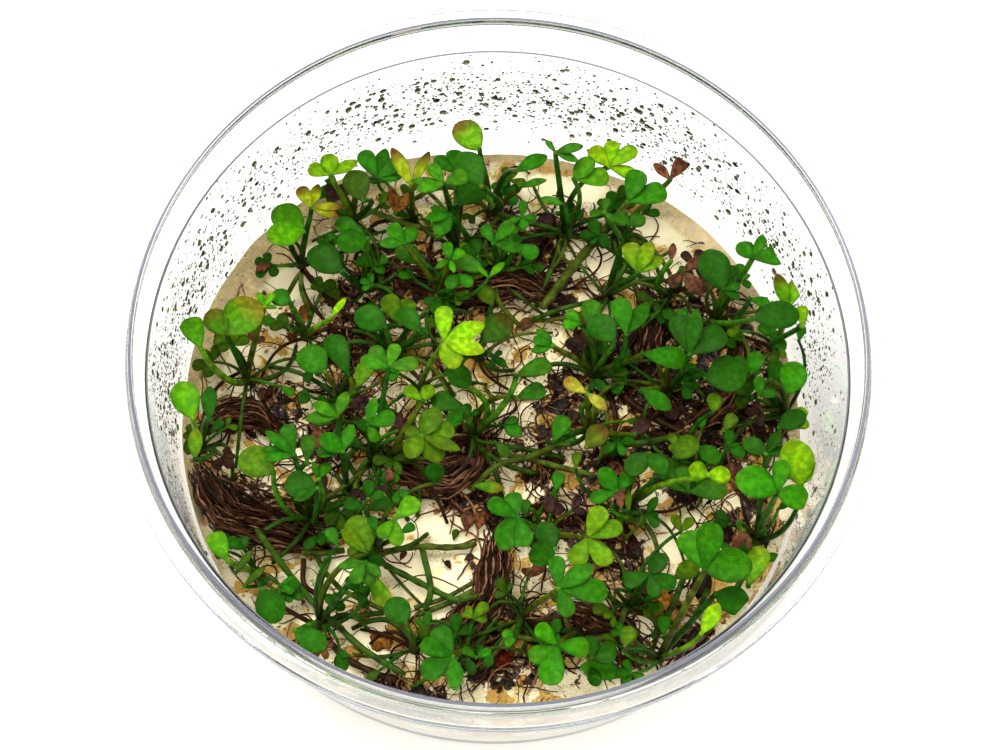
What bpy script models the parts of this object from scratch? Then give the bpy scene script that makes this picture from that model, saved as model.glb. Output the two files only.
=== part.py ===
"""Dwarf water clover growing in a clear plastic tissue culture cup."""
import bpy
import bmesh
import numpy as np
from math import cos, sin, radians, hypot, pi
from mathutils import Vector
from mathutils.bvhtree import BVHTree

MM = 0.001

# Cup, millimetres
CUP_HEIGHT = 44.0
CUP_FLOOR = 1.4
CUP_WALL = 1.0
BASE_RADIUS = 42.6
INNER_RADIUS_LOW = 45.0
INNER_RADIUS_LEDGE = 47.9
LEDGE_HEIGHT = 37.7
LOW_HEIGHT = 4.2
RIM_RADIUS = 50.0
SKIRT_RADIUS = 52.9
CUP_STEPS = 44

# Gel
GEL_LEVEL = 8.6
GEL_STEPS = 32
GAP = 0.3

# Plants
PETIOLE_RADIUS = 0.42
PETIOLE_SIDES = 3
CROWN_RADIUS = 0.85
BLADE_HALF_THICKNESS = 0.2
BLADE_DISH = 0.35
BLADE_DROOP = 0.10
BLADE_TILTS = (4.0, 18.0)
SMALL_BLADE = 3.7
HUB_RADIUS = 0.55
HUB_HALF_HEIGHT = 0.25
HUB_TOP_LIMIT = 33.0
WALL_MARGIN = 0.9
SPHERE_MARGIN = 0.06
BLADE_SPHERE = 0.32
WIDTH_SHARE = 1.05  # keeps the side of a leaflet off its neighbour's
MAT_SIDES = 7

# Positions of the plants are taken in a slanted view, from a point in front and above.
# Each x, y is where the line of sight crosses the level 20 mm above the base.
EYE_Y = -131.1
EYE_Z = 368.5
PLAN_Z = 20.0

COLOURS = {
    "cup": (0.93, 0.95, 0.97, 0.18, 0.08),
    "gel": (0.86, 0.74, 0.50, 0.55, 0.12),
    "root": (0.045, 0.016, 0.008, 1.0, 0.7),
    "runner": (0.03, 0.09, 0.012, 1.0, 0.45),
    "stem": (0.05, 0.022, 0.012, 1.0, 0.55),
    "green": (0.035, 0.25, 0.03, 1.0, 0.35),
    "dark": (0.012, 0.13, 0.015, 1.0, 0.35),
    "pale": (0.06, 0.27, 0.06, 1.0, 0.35),
    "lime": (0.33, 0.60, 0.02, 1.0, 0.35),
    "olive": (0.11, 0.22, 0.02, 1.0, 0.40),
    "yellow": (0.50, 0.50, 0.04, 1.0, 0.40),
    "brown": (0.17, 0.06, 0.025, 1.0, 0.55),
}

# Root mats: stations (x, y, width, height)
ROOT_MATS = [
    [(-44.5, -13.5, 3.5, 2.2), (-41.5, -17.0, 6.0, 3.0), (-36.5, -19.0, 7.5, 3.2),
     (-31.0, -20.5, 6.5, 2.6), (-26.5, -22.0, 4.0, 1.8), (-22.5, -23.0, 1.6, 1.0)],
    [(-41.5, -6.5, 2.5, 1.4), (-38.5, -4.2, 4.5, 2.4), (-34.5, -3.8, 4.5, 2.4), (-31.5, -6.2, 2.2, 1.4)],
    [(-16.0, 20.0, 3.0, 1.6), (-10.5, 19.0, 6.0, 2.6), (-4.0, 19.5, 7.5, 3.2),
     (2.0, 20.0, 6.5, 3.0), (6.5, 18.0, 3.0, 1.6)],
    [(-15.5, -8.5, 3.0, 1.6), (-11.0, -11.0, 5.5, 2.6), (-6.0, -11.5, 6.5, 2.8),
     (-2.5, -9.0, 5.0, 2.2), (-1.5, -5.5, 2.4, 1.4)],
    [(20.5, 20.0, 2.5, 1.6), (21.8, 16.0, 4.5, 2.6), (21.0, 11.5, 4.8, 2.6), (19.0, 7.5, 2.8, 1.6)],
    [(30.0, -0.5, 3.0, 1.6), (33.5, 3.0, 4.5, 2.4), (35.0, 8.0, 4.0, 2.2), (34.5, 12.5, 2.4, 1.4)],
    [(1.5, -19.5, 3.0, 1.6), (1.2, -24.0, 4.8, 2.4), (0.8, -29.0, 4.5, 2.2), (-2.0, -33.5, 6.0, 2.8),
     (-4.5, -36.5, 3.0, 1.6)],
    [(12.0, -29.5, 2.6, 1.6), (15.5, -30.5, 5.0, 2.6), (19.5, -32.0, 4.5, 2.4), (22.5, -36.0, 4.0, 2.0)],
]

# Creeping stems and long bare stalks: material, radius, stations (x, y, clearance above what lies below)
RUNNERS = [
    ("stem", 0.55, [(-24.2, -35.2, 0), (-20.8, -36.8, 0), (-18.6, -38.8, 0), (-14.5, -40.6, 0),
                    (-10.5, -41.8, 0)]),
    ("runner", 0.50, [(-32.6, -21.0, 0.4), (-29.0, -25.4, 0), (-23.4, -31.5, 0.6), (-19.6, -34.6, 0.8),
                      (-15.8, -37.6, 0.4), (-10.0, -40.6, 0.3)]),
    ("runner", 0.50, [(-15.6, -23.8, 0), (-10.4, -22.1, 0.4), (-4.4, -21.8, 0.2), (-1.4, -21.0, 0)]),
    ("runner", 0.50, [(-14.4, -24.9, 0), (-7.6, -27.9, 0.6), (-3.8, -29.4, 0.4), (-0.6, -28.6, 0)]),
    ("runner", 0.45, [(0.9, -7.4, 0), (5.0, -7.8, 0.6), (10.0, -8.8, 0.8), (14.5, -9.6, 0)]),
    ("stem", 0.50, [(18.0, 3.0, 0), (22.0, 0.2, 0), (26.0, -1.8, 0), (30.5, -3.9, 0), (33.5, -6.2, 0)]),
    ("runner", 0.70, [(15.6, 30.4, 0), (12.6, 26.4, 0.3), (9.4, 21.6, 0), (5.8, 15.6, 0)]),
]

# Shoots: colour, crown x, y, then fronds (hub x, y, height, leaflets (azimuth, length, width))
SHOOTS = [
    ("yellow", -30.0, 20.2, [
        (-29.3, 29.4, 24, [(130, 3.5, 2.3), (80, 4.1, 1.8), (3, 4.8, 1.4), (-18, 4.3, 1.6)]),
        (-30.2, 25.4, 20, [(143, 6.0, 4.5), (200, 5.6, 4.2)])]),
    ("green", -23.0, 27.6, [
        (-27.0, 35.0, 25, [(168, 3.4, 2.4), (92, 3.2, 2.8), (35, 4.6, 2.0)]),
        (-20.0, 35.0, 24, [(122, 4.6, 2.8), (80, 5.2, 2.3), (36, 4.8, 2.8), (4, 3.6, 1.8)]),
        (-21.8, 31.2, 21, [(118, 5.2, 4.2)]),
        (-26.4, 30.6, 18, [(100, 3.2, 1.6), (50, 3.6, 2.2)])]),
    ("dark", -20.6, 17.0, [
        (-20.6, 25.0, 22, [(152, 5.4, 3.0), (205, 4.8, 4.0)]),
        (-24.0, 19.4, 20, [(150, 6.0, 5.0)]),
        (-19.3, 17.6, 17, [(105, 1.9, 1.1), (165, 1.9, 1.1), (215, 1.7, 1.0)])]),
    ("green", -28.2, 8.8, [
        (-31.0, 13.8, 21, [(150, 3.2, 2.8)]),
        (-25.0, 11.8, 18, [(62, 4.2, 1.2)])]),
    ("olive", -36.2, 1.4, [
        (-39.8, 8.2, 24, [(128, 4.4, 4.0), (52, 6.8, 6.0)]),
        (-34.8, 13.0, 21, [(118, 2.5, 1.1), (58, 2.4, 1.2), (178, 2.3, 1.0), (0, 1.9, 0.8)]),
        (-43.3, 5.8, 26, [(118, 5.2, 3.6)])]),
    ("lime", -41.6, -9.6, [
        (-43.4, -5.0, 29, [(112, 5.6, 4.3)]),
        (-40.9, -5.2, 25, [(95, 5.4, 2.4)]),
        (-42.3, -11.3, 23, [(95, 4.8, 2.2)])]),
    ("green", -22.4, -0.6, [
        (-25.0, 3.4, 20, [(140, 5.2, 4.8)]),
        (-21.6, 3.2, 16, [(118, 7.0, 3.8)]),
        (-20.2, 1.2, 19, [(76, 4.3, 2.7)])]),
    ("green", -25.0, -18.8, [
        (-28.3, -9.6, 25, [(108, 4.6, 2.4), (146, 5.2, 1.9), (172, 4.8, 1.7), (196, 4.4, 1.6)]),
        (-26.4, -10.6, 20, [(92, 4.3, 2.4)]),
        (-31.0, -12.4, 20, [(150, 5.6, 5.0)]),
        (-24.5, -13.0, 22, [(112, 2.6, 1.1), (62, 2.9, 1.6)]),
        (-24.6, -14.4, 17, [(178, 4.6, 4.4), (218, 3.8, 1.9)])]),
    ("green", -20.2, -14.5, [
        (-21.4, -8.6, 24, [(152, 3.9, 3.0), (187, 3.7, 2.0), (76, 4.4, 2.0)]),
        (-22.6, -3.4, 20, [(76, 4.2, 2.1), (160, 4.1, 2.0), (190, 4.6, 2.2)])]),
    ("green", -17.2, -8.6, [
        (-18.2, -4.2, 21, [(12, 4.2, 2.7), (-60, 2.9, 1.8), (80, 4.4, 1.8)]),
        (-15.9, 4.8, 23, [(134, 3.9, 2.4), (172, 4.2, 2.4), (76, 3.6, 2.1), (12, 4.3, 2.5)])]),
    ("dark", -15.6, 7.2, [
        (-16.8, 11.0, 18, [(152, 5.0, 4.8)]),
        (-11.6, 10.4, 19, [(128, 5.2, 3.6)]),
        (-14.8, 11.6, 15, [(116, 4.8, 3.2), (70, 4.4, 2.8)])]),
    ("lime", -11.2, 1.6, [
        (-8.2, 9.4, 27, [(92, 5.2, 2.8), (32, 6.6, 3.0), (-15, 6.2, 3.0), (-62, 4.6, 3.4)])]),
    ("olive", -14.4, -8.6, [
        (-10.3, -5.4, 23, [(162, 2.6, 2.1), (62, 4.6, 3.4), (18, 4.8, 3.0), (246, 4.2, 3.0),
                           (310, 4.6, 3.6), (338, 6.2, 2.2)]),
        (-10.6, 0.0, 20, [(150, 3.2, 2.0), (62, 2.8, 2.1)])]),
    ("green", -3.0, -4.6, [
        (-4.6, -0.8, 19, [(165, 4.8, 3.2), (238, 3.6, 2.4)]),
        (-3.8, 2.4, 21, [(140, 4.4, 3.4)]),
        (2.6, 4.8, 23, [(24, 5.4, 2.9)]),
        (2.9, 1.4, 20, [(26, 4.4, 3.0)])]),
    ("olive", -3.0, 7.6, [
        (-2.2, 9.8, 19, [(54, 5.6, 4.4)]),
        (-1.6, 15.8, 18, [(118, 3.2, 2.8)])]),
    ("dark", 13.8, 6.0, [
        (7.7, 9.9, 21, [(138, 3.4, 1.7), (165, 3.0, 1.6), (200, 3.2, 1.6)]),
        (11.6, 13.6, 20, [(142, 2.8, 2.0), (196, 2.8, 1.8)]),
        (12.6, 14.0, 23, [(80, 3.8, 3.2)]),
        (16.6, 11.2, 19, [(128, 5.2, 4.4)]),
        (18.3, 12.4, 23, [(106, 5.6, 3.2), (62, 6.2, 2.8)]),
        (20.8, 9.6, 20, [(-4, 6.6, 3.7)])]),
    ("yellow", -14.2, 28.6, [
        (-14.8, 34.0, 25, [(122, 6.4, 2.3), (70, 6.4, 1.8)]),
        (-15.8, 29.4, 18, [(108, 3.8, 1.9), (62, 4.4, 2.0)])]),
    ("green", -2.6, 30.8, [
        (-5.0, 40.8, 27, [(134, 5.4, 4.6)]),
        (-4.4, 34.8, 21, [(122, 6.2, 4.6)]),
        (-1.4, 31.8, 18, [(125, 4.6, 2.0)]),
        (0.6, 37.6, 24, [(36, 5.6, 2.6)]),
        (1.4, 35.0, 20, [(20, 4.2, 1.4)])]),
    ("pale", -7.4, 24.8, [
        (-9.9, 34.7, 26, [(130, 3.6, 2.1), (28, 3.7, 2.6), (176, 4.9, 1.5), (202, 4.2, 2.0)]),
        (-8.2, 36.6, 22, [(150, 4.0, 2.2), (98, 4.0, 2.8)]),
        (-8.7, 29.7, 19, [(158, 3.2, 1.3), (200, 3.8, 1.9), (240, 3.7, 2.8)]),
        (-7.3, 31.6, 23, [(55, 5.2, 4.4)])]),
    ("green", -9.4, 17.0, [
        (-15.0, 24.6, 22, [(135, 3.6, 2.4), (186, 3.8, 1.9), (62, 3.0, 2.2)]),
        (-11.4, 21.2, 19, [(148, 5.6, 3.3)]),
        (-8.2, 22.4, 23, [(105, 2.7, 1.7), (40, 2.6, 1.7), (215, 2.4, 1.1), (290, 2.4, 1.0)]),
        (-2.8, 20.8, 20, [(158, 4.8, 3.0)]),
        (-6.6, 20.0, 18, [(225, 2.7, 2.1), (318, 2.7, 2.1)])]),
    ("green", -1.0, 21.6, [
        (-2.0, 25.6, 22, [(120, 3.2, 1.9), (45, 4.2, 2.2), (-8, 4.4, 2.0)]),
        (2.0, 30.0, 23, [(86, 2.6, 1.4), (4, 2.2, 1.3), (282, 2.2, 1.5), (202, 2.3, 1.1)]),
        (1.0, 25.4, 18, [(-18, 4.0, 2.8)])]),
    ("green", 8.4, 27.8, [
        (6.4, 41.2, 27, [(14, 4.2, 1.8), (-16, 3.6, 1.6), (128, 2.6, 0.9)]),
        (9.4, 37.0, 24, [(52, 4.2, 3.0), (4, 5.2, 3.3)]),
        (8.2, 32.6, 21, [(166, 3.8, 1.5)]),
        (14.6, 39.4, 28, [(140, 4.0, 2.7), (88, 4.6, 2.5), (35, 4.9, 2.7), (-12, 5.0, 2.3)])]),
    ("green", 16.2, 28.0, [
        (23.8, 38.0, 25, [(140, 3.4, 1.7), (56, 4.4, 2.5)]),
        (17.6, 33.8, 22, [(68, 5.0, 3.4), (20, 6.0, 3.8)]),
        (14.2, 31.8, 21, [(86, 2.3, 1.5), (196, 2.3, 1.3), (320, 2.1, 1.3)])]),
    ("olive", 15.2, 18.4, [
        (18.0, 30.2, 23, [(152, 2.6, 2.4), (28, 2.6, 2.4)]),
        (19.6, 22.4, 21, [(112, 4.8, 3.0), (68, 5.0, 2.6), (34, 4.4, 2.2)])]),
    ("brown", 24.4, 19.4, [
        (26.2, 23.0, 18, [(-46, 4.0, 2.7), (236, 3.0, 1.9), (34, 3.8, 1.9)]),
        (24.4, 24.6, 20, [(85, 3.0, 1.2)])]),
    ("dark", 31.2, 15.6, [
        (32.3, 20.6, 23, [(114, 6.4, 5.0), (58, 2.2, 1.1), (12, 2.6, 1.4), (-28, 2.8, 1.4)]),
        (36.5, 26.0, 25, [(132, 3.2, 2.8), (66, 4.2, 1.8), (8, 4.8, 3.2)]),
        (36.2, 19.4, 20, [(-12, 3.6, 1.7)]),
        (37.0, 16.4, 24, [(8, 6.4, 4.6)])]),
    ("lime", 43.0, 13.0, [
        (41.9, 18.4, 26, [(112, 5.2, 2.4), (74, 5.2, 2.4)]),
        (44.0, 15.6, 22, [(92, 3.3, 1.8)])]),
    ("green", 41.8, 1.8, [
        (42.2, 4.8, 25, [(74, 5.2, 4.2)]),
        (36.9, 7.8, 20, [(78, 3.4, 2.8)]),
        (39.7, 6.8, 17, [(66, 3.4, 2.8)]),
        (41.0, -0.5, 22, [(35, 4.5, 3.2)]),
        (43.0, 0.6, 18, [(45, 2.6, 1.8), (-10, 2.4, 1.8)])]),
    ("dark", 24.6, 4.0, [
        (27.7, 10.0, 22, [(112, 6.2, 3.4), (86, 6.6, 2.6), (38, 6.2, 4.2)]),
        (30.2, 6.4, 20, [(15, 6.0, 5.8)]),
        (20.9, 4.0, 19, [(-30, 5.2, 2.7)])]),
    ("yellow", 13.6, -3.0, [
        (13.0, 2.8, 22, [(156, 3.8, 2.1), (-40, 3.8, 1.8)]),
        (8.6, -5.0, 21, [(72, 4.4, 2.7)]),
        (13.4, -5.4, 19, [(52, 4.2, 3.4)]),
        (20.2, -3.0, 17, [(58, 3.2, 2.5)])]),
    ("green", 29.4, -7.8, [
        (26.0, -6.2, 20, [(48, 4.6, 3.5)]),
        (29.2, -4.4, 19, [(-28, 3.9, 2.8)]),
        (28.4, -11.2, 19, [(115, 3.9, 2.3), (150, 4.2, 2.6), (8, 5.4, 3.5)])]),
    ("green", 19.6, -13.8, [
        (31.0, -8.4, 26, [(175, 3.0, 2.6), (6, 3.2, 2.6)]),
        (22.4, -5.8, 21, [(228, 4.4, 3.5), (304, 4.2, 3.0)]),
        (18.0, -11.8, 20, [(130, 4.0, 3.0), (58, 3.6, 2.4), (204, 4.0, 2.1)]),
        (24.5, -9.4, 16, [(20, 4.0, 2.6)])]),
    ("green", 7.8, -19.4, [
        (14.2, -19.0, 25, [(70, 4.8, 3.1), (24, 5.2, 2.8), (250, 4.4, 3.1), (310, 5.2, 3.1)]),
        (4.2, -16.8, 25, [(106, 4.0, 2.7), (155, 4.8, 2.7), (248, 5.2, 4.0), (288, 4.6, 2.9)]),
        (9.6, -21.0, 20, [(118, 4.4, 3.6), (212, 4.2, 3.6)])]),
    ("green", 5.6, -31.4, [
        (10.5, -26.8, 26, [(98, 4.8, 2.5), (36, 5.8, 2.9), (-2, 6.8, 3.6), (292, 4.6, 2.6)]),
        (4.8, -34.2, 17, [(165, 1.9, 1.5), (232, 1.9, 1.4)])]),
    ("green", 20.6, -28.6, [
        (23.2, -23.8, 23, [(54, 3.6, 2.7), (-20, 4.0, 2.6), (284, 3.6, 2.2), (202, 3.8, 2.6)]),
        (26.9, -24.0, 18, [(40, 4.0, 3.0)])]),
    ("green", 25.0, -35.8, [
        (31.0, -22.6, 27, [(118, 6.2, 3.8), (82, 6.6, 4.0), (8, 6.6, 5.0)]),
        (32.6, -26.0, 22, [(-18, 5.0, 4.2)]),
        (31.0, -32.2, 20, [(64, 5.0, 2.6)])]),
    ("green", 38.0, -17.6, [
        (41.0, -10.3, 26, [(164, 6.2, 5.0), (80, 4.6, 2.8), (-16, 4.6, 3.8)]),
        (39.2, -4.6, 20, [(150, 3.8, 2.8), (60, 3.8, 1.9), (14, 4.0, 2.0)]),
        (37.8, -25.0, 22, [(74, 6.2, 3.4)]),
        (44.4, -9.0, 28, [(105, 6.5, 5.0), (60, 4.0, 2.0)]),
        (39.8, -20.4, 19, [(150, 3.4, 2.0), (10, 3.0, 1.4)]),
        (36.2, -16.4, 16, [(250, 3.4, 1.6), (290, 3.2, 1.4)])]),
    ("green", 13.2, -33.2, [
        (10.8, -35.0, 24, [(-4, 4.4, 3.0), (258, 6.0, 3.8), (212, 4.4, 2.9), (142, 4.0, 2.6)]),
        (15.6, -36.4, 19, [(20, 3.6, 3.2), (95, 3.0, 2.6)]),
        (20.5, -38.6, 20, [(172, 6.5, 3.2)])]),
    ("green", -2.0, -36.8, [
        (-3.6, -37.6, 23, [(122, 4.8, 3.2), (166, 4.8, 2.7), (216, 5.0, 3.4), (276, 5.0, 2.6)])]),
    ("lime", -15.4, -22.4, [
        (-13.2, -18.2, 24, [(48, 4.4, 2.9), (236, 3.6, 2.1), (282, 4.0, 2.3)]),
        (-17.4, -17.0, 19, [(166, 3.2, 2.1), (24, 3.8, 2.4)])]),
    ("green", -22.4, -34.2, [
        (-16.8, -24.8, 22, [(194, 4.0, 1.5), (246, 3.8, 2.1), (288, 3.6, 1.9), (316, 3.2, 1.6)]),
        (-16.8, -23.4, 16, [(112, 5.6, 4.8), (145, 4.8, 2.2)]),
        (-25.8, -35.4, 21, [(-24, 5.0, 3.6)])]),
    ("green", -9.0, -36.8, [
        (-10.4, -33.4, 21, [(122, 4.4, 3.9)])]),
    ("green", -32.0, -27.4, [
        (-31.0, -29.8, 22, [(302, 5.2, 4.4)]),
        (-36.8, -26.4, 22, [(125, 4.8, 3.4)])]),
]


def seen(x, y, z):
    """The point at height z on the line of sight that crosses the plan level at x, y."""
    k = (z - PLAN_Z) / (EYE_Z - PLAN_Z)
    return np.array([x - x * k, y - (y - EYE_Y) * k, z])


def wall_radius(z):
    """Inner radius of the cup at height z."""
    k = (z - LOW_HEIGHT) / (LEDGE_HEIGHT - LOW_HEIGHT)
    return INNER_RADIUS_LOW + (INNER_RADIUS_LEDGE - INNER_RADIUS_LOW) * min(max(k, 0.0), 1.0)


def inside_wall(p, margin=WALL_MARGIN):
    """Moves a point inward until it clears the cup wall."""
    r = hypot(p[0], p[1])
    limit = wall_radius(p[2]) - margin
    if r > limit:
        return np.array([p[0] * limit / r, p[1] * limit / r, p[2]])
    return p


def gel_level(x, y):
    """Top of the gel: nearly level, climbing the wall at the back left and a little at the back right."""
    r = hypot(x, y)
    rim = max(0.0, (r - 26.0) / 19.0)
    left = max(0.0, (-0.90 * x + 0.42 * y) / 45.0 - 0.45)
    right = max(0.0, (0.70 * x + 0.72 * y) / 45.0 - 0.6)
    ripple = 0.32 * sin(0.33 * x + 0.8) * cos(0.29 * y - 0.4) + 0.18 * sin(0.61 * x + 0.47 * y)
    return GEL_LEVEL + ripple + 9.0 * left * rim + 4.5 * right * rim


def material(kind):
    """One Principled material for a kind of surface."""
    mat = bpy.data.materials.get(kind)
    if mat:
        return mat
    r, g, b, alpha, rough = COLOURS[kind]
    mat = bpy.data.materials.new(kind)
    mat.use_nodes = True
    bsdf = mat.node_tree.nodes["Principled BSDF"]
    bsdf.inputs["Base Color"].default_value = (r, g, b, 1.0)
    bsdf.inputs["Alpha"].default_value = alpha
    bsdf.inputs["Roughness"].default_value = rough
    bsdf.inputs["Metallic"].default_value = 0.0
    mat.diffuse_color = (r, g, b, alpha)
    return mat


def add_object(name, shape, kind, collection):
    obj = bpy.data.objects.new(name, shape)
    collection.objects.link(obj)
    shape.materials.clear()
    shape.materials.append(material(kind))
    return obj


def turned(name, profile, steps, kind, collection):
    """A profile of (radius, height) in millimetres turned about Z with a Screw modifier."""
    mesh = bpy.data.meshes.new(name)
    verts = [(r * MM, 0.0, z * MM) for r, z in profile]
    mesh.from_pydata(verts, [(i, i + 1) for i in range(len(verts) - 1)], [])
    obj = add_object(name, mesh, kind, collection)
    screw = obj.modifiers.new("Screw", "SCREW")
    screw.axis = "Z"
    screw.angle = 2 * pi
    screw.steps = steps
    screw.render_steps = steps
    screw.use_merge_vertices = True
    screw.merge_threshold = 0.00001
    screw.use_normal_calculate = False
    return obj


def add_tube(name, path, radius, kind, collection):
    """A stem along a path in millimetres: a curve with a round bevel and filled ends."""
    curve = bpy.data.curves.new(name, "CURVE")
    curve.dimensions = "3D"
    curve.bevel_depth = radius * MM
    curve.bevel_resolution = 1
    curve.use_fill_caps = True
    spline = curve.splines.new("POLY")
    spline.points.add(len(path) - 1)
    for point, place in zip(spline.points, path):
        point.co = (place[0] * MM, place[1] * MM, place[2] * MM, 1.0)
    return add_object(name, curve, kind, collection)


def evaluated_mesh(obj):
    depsgraph = bpy.context.evaluated_depsgraph_get()
    return bpy.data.meshes.new_from_object(obj.evaluated_get(depsgraph))


def surface_tree(obj):
    """A search tree of an object's evaluated surface, in millimetres."""
    mesh = evaluated_mesh(obj)
    verts = [v.co / MM for v in mesh.vertices]
    tree = BVHTree.FromPolygons(verts, [tuple(p.vertices) for p in mesh.polygons])
    bpy.data.meshes.remove(mesh)
    return tree


def ground(x, y, trees):
    """Height of whatever lies under x, y."""
    top = 0.0
    for tree in trees:
        hit = tree.ray_cast(Vector((x, y, 60.0)), Vector((0.0, 0.0, -1.0)))[0]
        if hit is not None:
            top = max(top, hit.z)
    return round(top, 2)


def on_ground(x, y, lift, trees):
    """The real point over the ground that is seen at plan x, y."""
    z = 10.0
    for _ in range(4):
        p = inside_wall(seen(x, y, z), 1.6)
        z = ground(p[0], p[1], trees) + lift
    return inside_wall(seen(x, y, z), 1.6)


def loft(bm, rings):
    """Closed skin through rings of points, with a flat cap at each end."""
    rows = [[bm.verts.new(Vector(p) * MM) for p in ring] for ring in rings]
    n = len(rows[0])
    for a, b in zip(rows, rows[1:]):
        for i in range(n):
            j = (i + 1) % n
            bm.faces.new((a[j], a[i], b[i], b[j]))
    bm.faces.new(rows[0])
    bm.faces.new(list(reversed(rows[-1])))


def tube_rings(path, radii, sides):
    """Rings across a path; each radius may be one number or (half width, half height)."""
    rings = []
    for i, p in enumerate(path):
        a = path[max(i - 1, 0)]
        b = path[min(i + 1, len(path) - 1)]
        along = Vector(b - a).normalized()
        ref = Vector((0.0, 0.0, 1.0)) if abs(along.z) < 0.9 else Vector((0.0, 1.0, 0.0))
        side = along.cross(ref).normalized()
        up = side.cross(along).normalized()
        r = radii[i]
        w, h = r if isinstance(r, tuple) else (r, r)
        ring = []
        for k in range(sides):
            t = 2 * pi * (k + 0.5) / sides
            ring.append(Vector(p) + side * (w * cos(t)) + up * (h * sin(t)))
        rings.append(ring)
    return rings


def resample(points, step):
    """Points along a smooth curve through the given ones."""
    pts = [np.array(p, float) for p in points]
    pts = [2 * pts[0] - pts[1]] + pts + [2 * pts[-1] - pts[-2]]
    out = []
    for i in range(1, len(pts) - 2):
        a, b, c, d = pts[i - 1:i + 3]
        n = max(1, int(round(np.linalg.norm((c - b)[:2]) / step)))
        for j in range(n):
            t = j / n
            out.append(0.5 * (2 * b + (c - a) * t + (2 * a - 5 * b + 4 * c - d) * t * t
                              + (3 * b - a - 3 * c + d) * t ** 3))
    out.append(pts[-2])
    return out


def petiole_path(crown, hub, rise, sway, count):
    """A stalk that leaves the crown upward and bends over to its hub."""
    flat = np.array([hub[0] - crown[0], hub[1] - crown[1], 0.0])
    dz = hub[2] - crown[2]
    cross = np.array([-flat[1], flat[0], 0.0])
    length = hypot(flat[0], flat[1])
    if length > 1e-6:
        cross = cross / length
    b = crown + flat * 0.30 + np.array([0, 0, dz * rise]) + cross * sway
    c = crown + flat * 0.86 + np.array([0, 0, dz * 0.82]) + cross * sway * 0.5
    out = []
    for i in range(count):
        t = i / (count - 1)
        s = 1 - t
        p = crown * s ** 3 + b * 3 * s * s * t + c * 3 * s * t * t + hub * t ** 3
        out.append(inside_wall(p))
    return out


def blade_frame(leaf, order):
    """Directions of a leaflet: along, across and up from its face. Neighbours tilt unlike each other."""
    azimuth, length, width = leaf
    tilt = radians(BLADE_TILTS[order % 2] + 5.0 * sin(azimuth * 1.7))
    a = radians(azimuth)
    along = np.array([cos(a) * cos(tilt), sin(a) * cos(tilt), sin(tilt)])
    across = np.array([-sin(a), cos(a), 0.0])
    return along, across, np.cross(along, across)


def blade_point(hub, leaf, frame, u, v, raise_by=0.0):
    """A point of a leaflet: u runs from the hub to the tip, v from edge to edge."""
    along, across, up = frame
    _, length, width = leaf
    dish = BLADE_DISH * v * v * width - BLADE_DROOP * length * u * u
    p = hub + along * (u * length) + across * (v * width) + up * (dish + raise_by)
    return inside_wall(p)


def blade_samples(hub, leaf, frame):
    """Points over a leaflet's middle surface, for keeping it clear of its neighbours."""
    _, length, width = leaf
    out = []
    for u in np.linspace(0.12, 1.0, max(3, int(length / 0.7) + 1)):
        half = 0.5 * min(1.0, 0.25 + 1.15 * u) * (1.0 if u < 0.85 else 0.75)
        for v in np.linspace(-half, half, max(3, int(width / 0.7) + 1)):
            out.append(blade_point(hub, leaf, frame, u, v))
    return out


def clearance(points, radius, others):
    """Least gap between spheres about the points and the spheres already placed."""
    if len(others) == 0:
        return 99.0
    pts = np.array(points)
    low = pts.min(axis=0) - 3.0
    high = pts.max(axis=0) + 3.0
    near = others[np.all((others[:, :3] > low) & (others[:, :3] < high), axis=1)]
    if len(near) == 0:
        return 99.0
    d = np.sqrt(((pts[:, None, :] - near[None, :, :3]) ** 2).sum(axis=2))
    return float((d - near[None, :, 3] - radius).min())


HUB_SHIFTS = [(dz, 0, 0) for dz in (0, 1, -1, 2, -2, 3, -3, 4.5, 6, 7.5, -4.5)]
HUB_SHIFTS += [(dz, dx, dy) for dz in (0, 2, -2, 4) for dx, dy in ((1, 0), (-1, 0), (0, 1), (0, -1))]
BENDS = [(0.55, 0), (0.85, 0), (0.3, 0), (0.6, 1.4), (0.6, -1.4), (0.8, 2.6), (0.8, -2.6), (0.4, 4.0), (0.4, -4.0)]


def place_frond(crown, frond, placed):
    """Finds the hub height and the bend that keep a frond clear of what is already there."""
    x, y, z, leaves = frond
    best = None
    widest = -99.0
    for dz, dx, dy in HUB_SHIFTS:
        hub = inside_wall(seen(x + dx, y + dy, z + dz), 1.8)
        if hub[2] < crown[2] + 2.5 or hub[2] > HUB_TOP_LIMIT:
            continue
        blades = []
        for order, leaf in enumerate(sorted(leaves)):
            blades += blade_samples(hub, leaf, blade_frame(leaf, order))
        gap_blades = clearance(blades, BLADE_SPHERE, placed)
        for rise, sway in BENDS:
            path = petiole_path(crown, hub, rise, sway, 24)
            gap = min(gap_blades, clearance(path[2:], PETIOLE_RADIUS + SPHERE_MARGIN, placed))
            if gap > widest:
                widest = gap
                best = (hub, rise, sway, path, blades)
            if gap > GAP:
                return best
    return best


def bridge(bm, a, b):
    """Faces between two rings that run the same way round and may differ in number, by the shorter diagonal."""
    pairs = [((p.co - q.co).length, i, j) for i, p in enumerate(a) for j, q in enumerate(b)]
    _, i, j = min(pairs)
    a, b = a[i:] + a[:i], b[j:] + b[:j]
    i = j = 0
    while i < len(a) or j < len(b):
        ai, bj = a[i % len(a)], b[j % len(b)]
        an, bn = a[(i + 1) % len(a)], b[(j + 1) % len(b)]
        lead_a = (i + 1) / len(a) - j / len(b)
        lead_b = (j + 1) / len(b) - i / len(a)
        shorter = (an.co - bj.co).length <= (bn.co - ai.co).length
        if j == len(b) or lead_b > 0.7 or (i < len(a) and lead_a <= 0.7 and shorter):
            bm.faces.new((ai, an, bj))
            i += 1
        else:
            bm.faces.new((ai, bn, bj))
            j += 1


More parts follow.
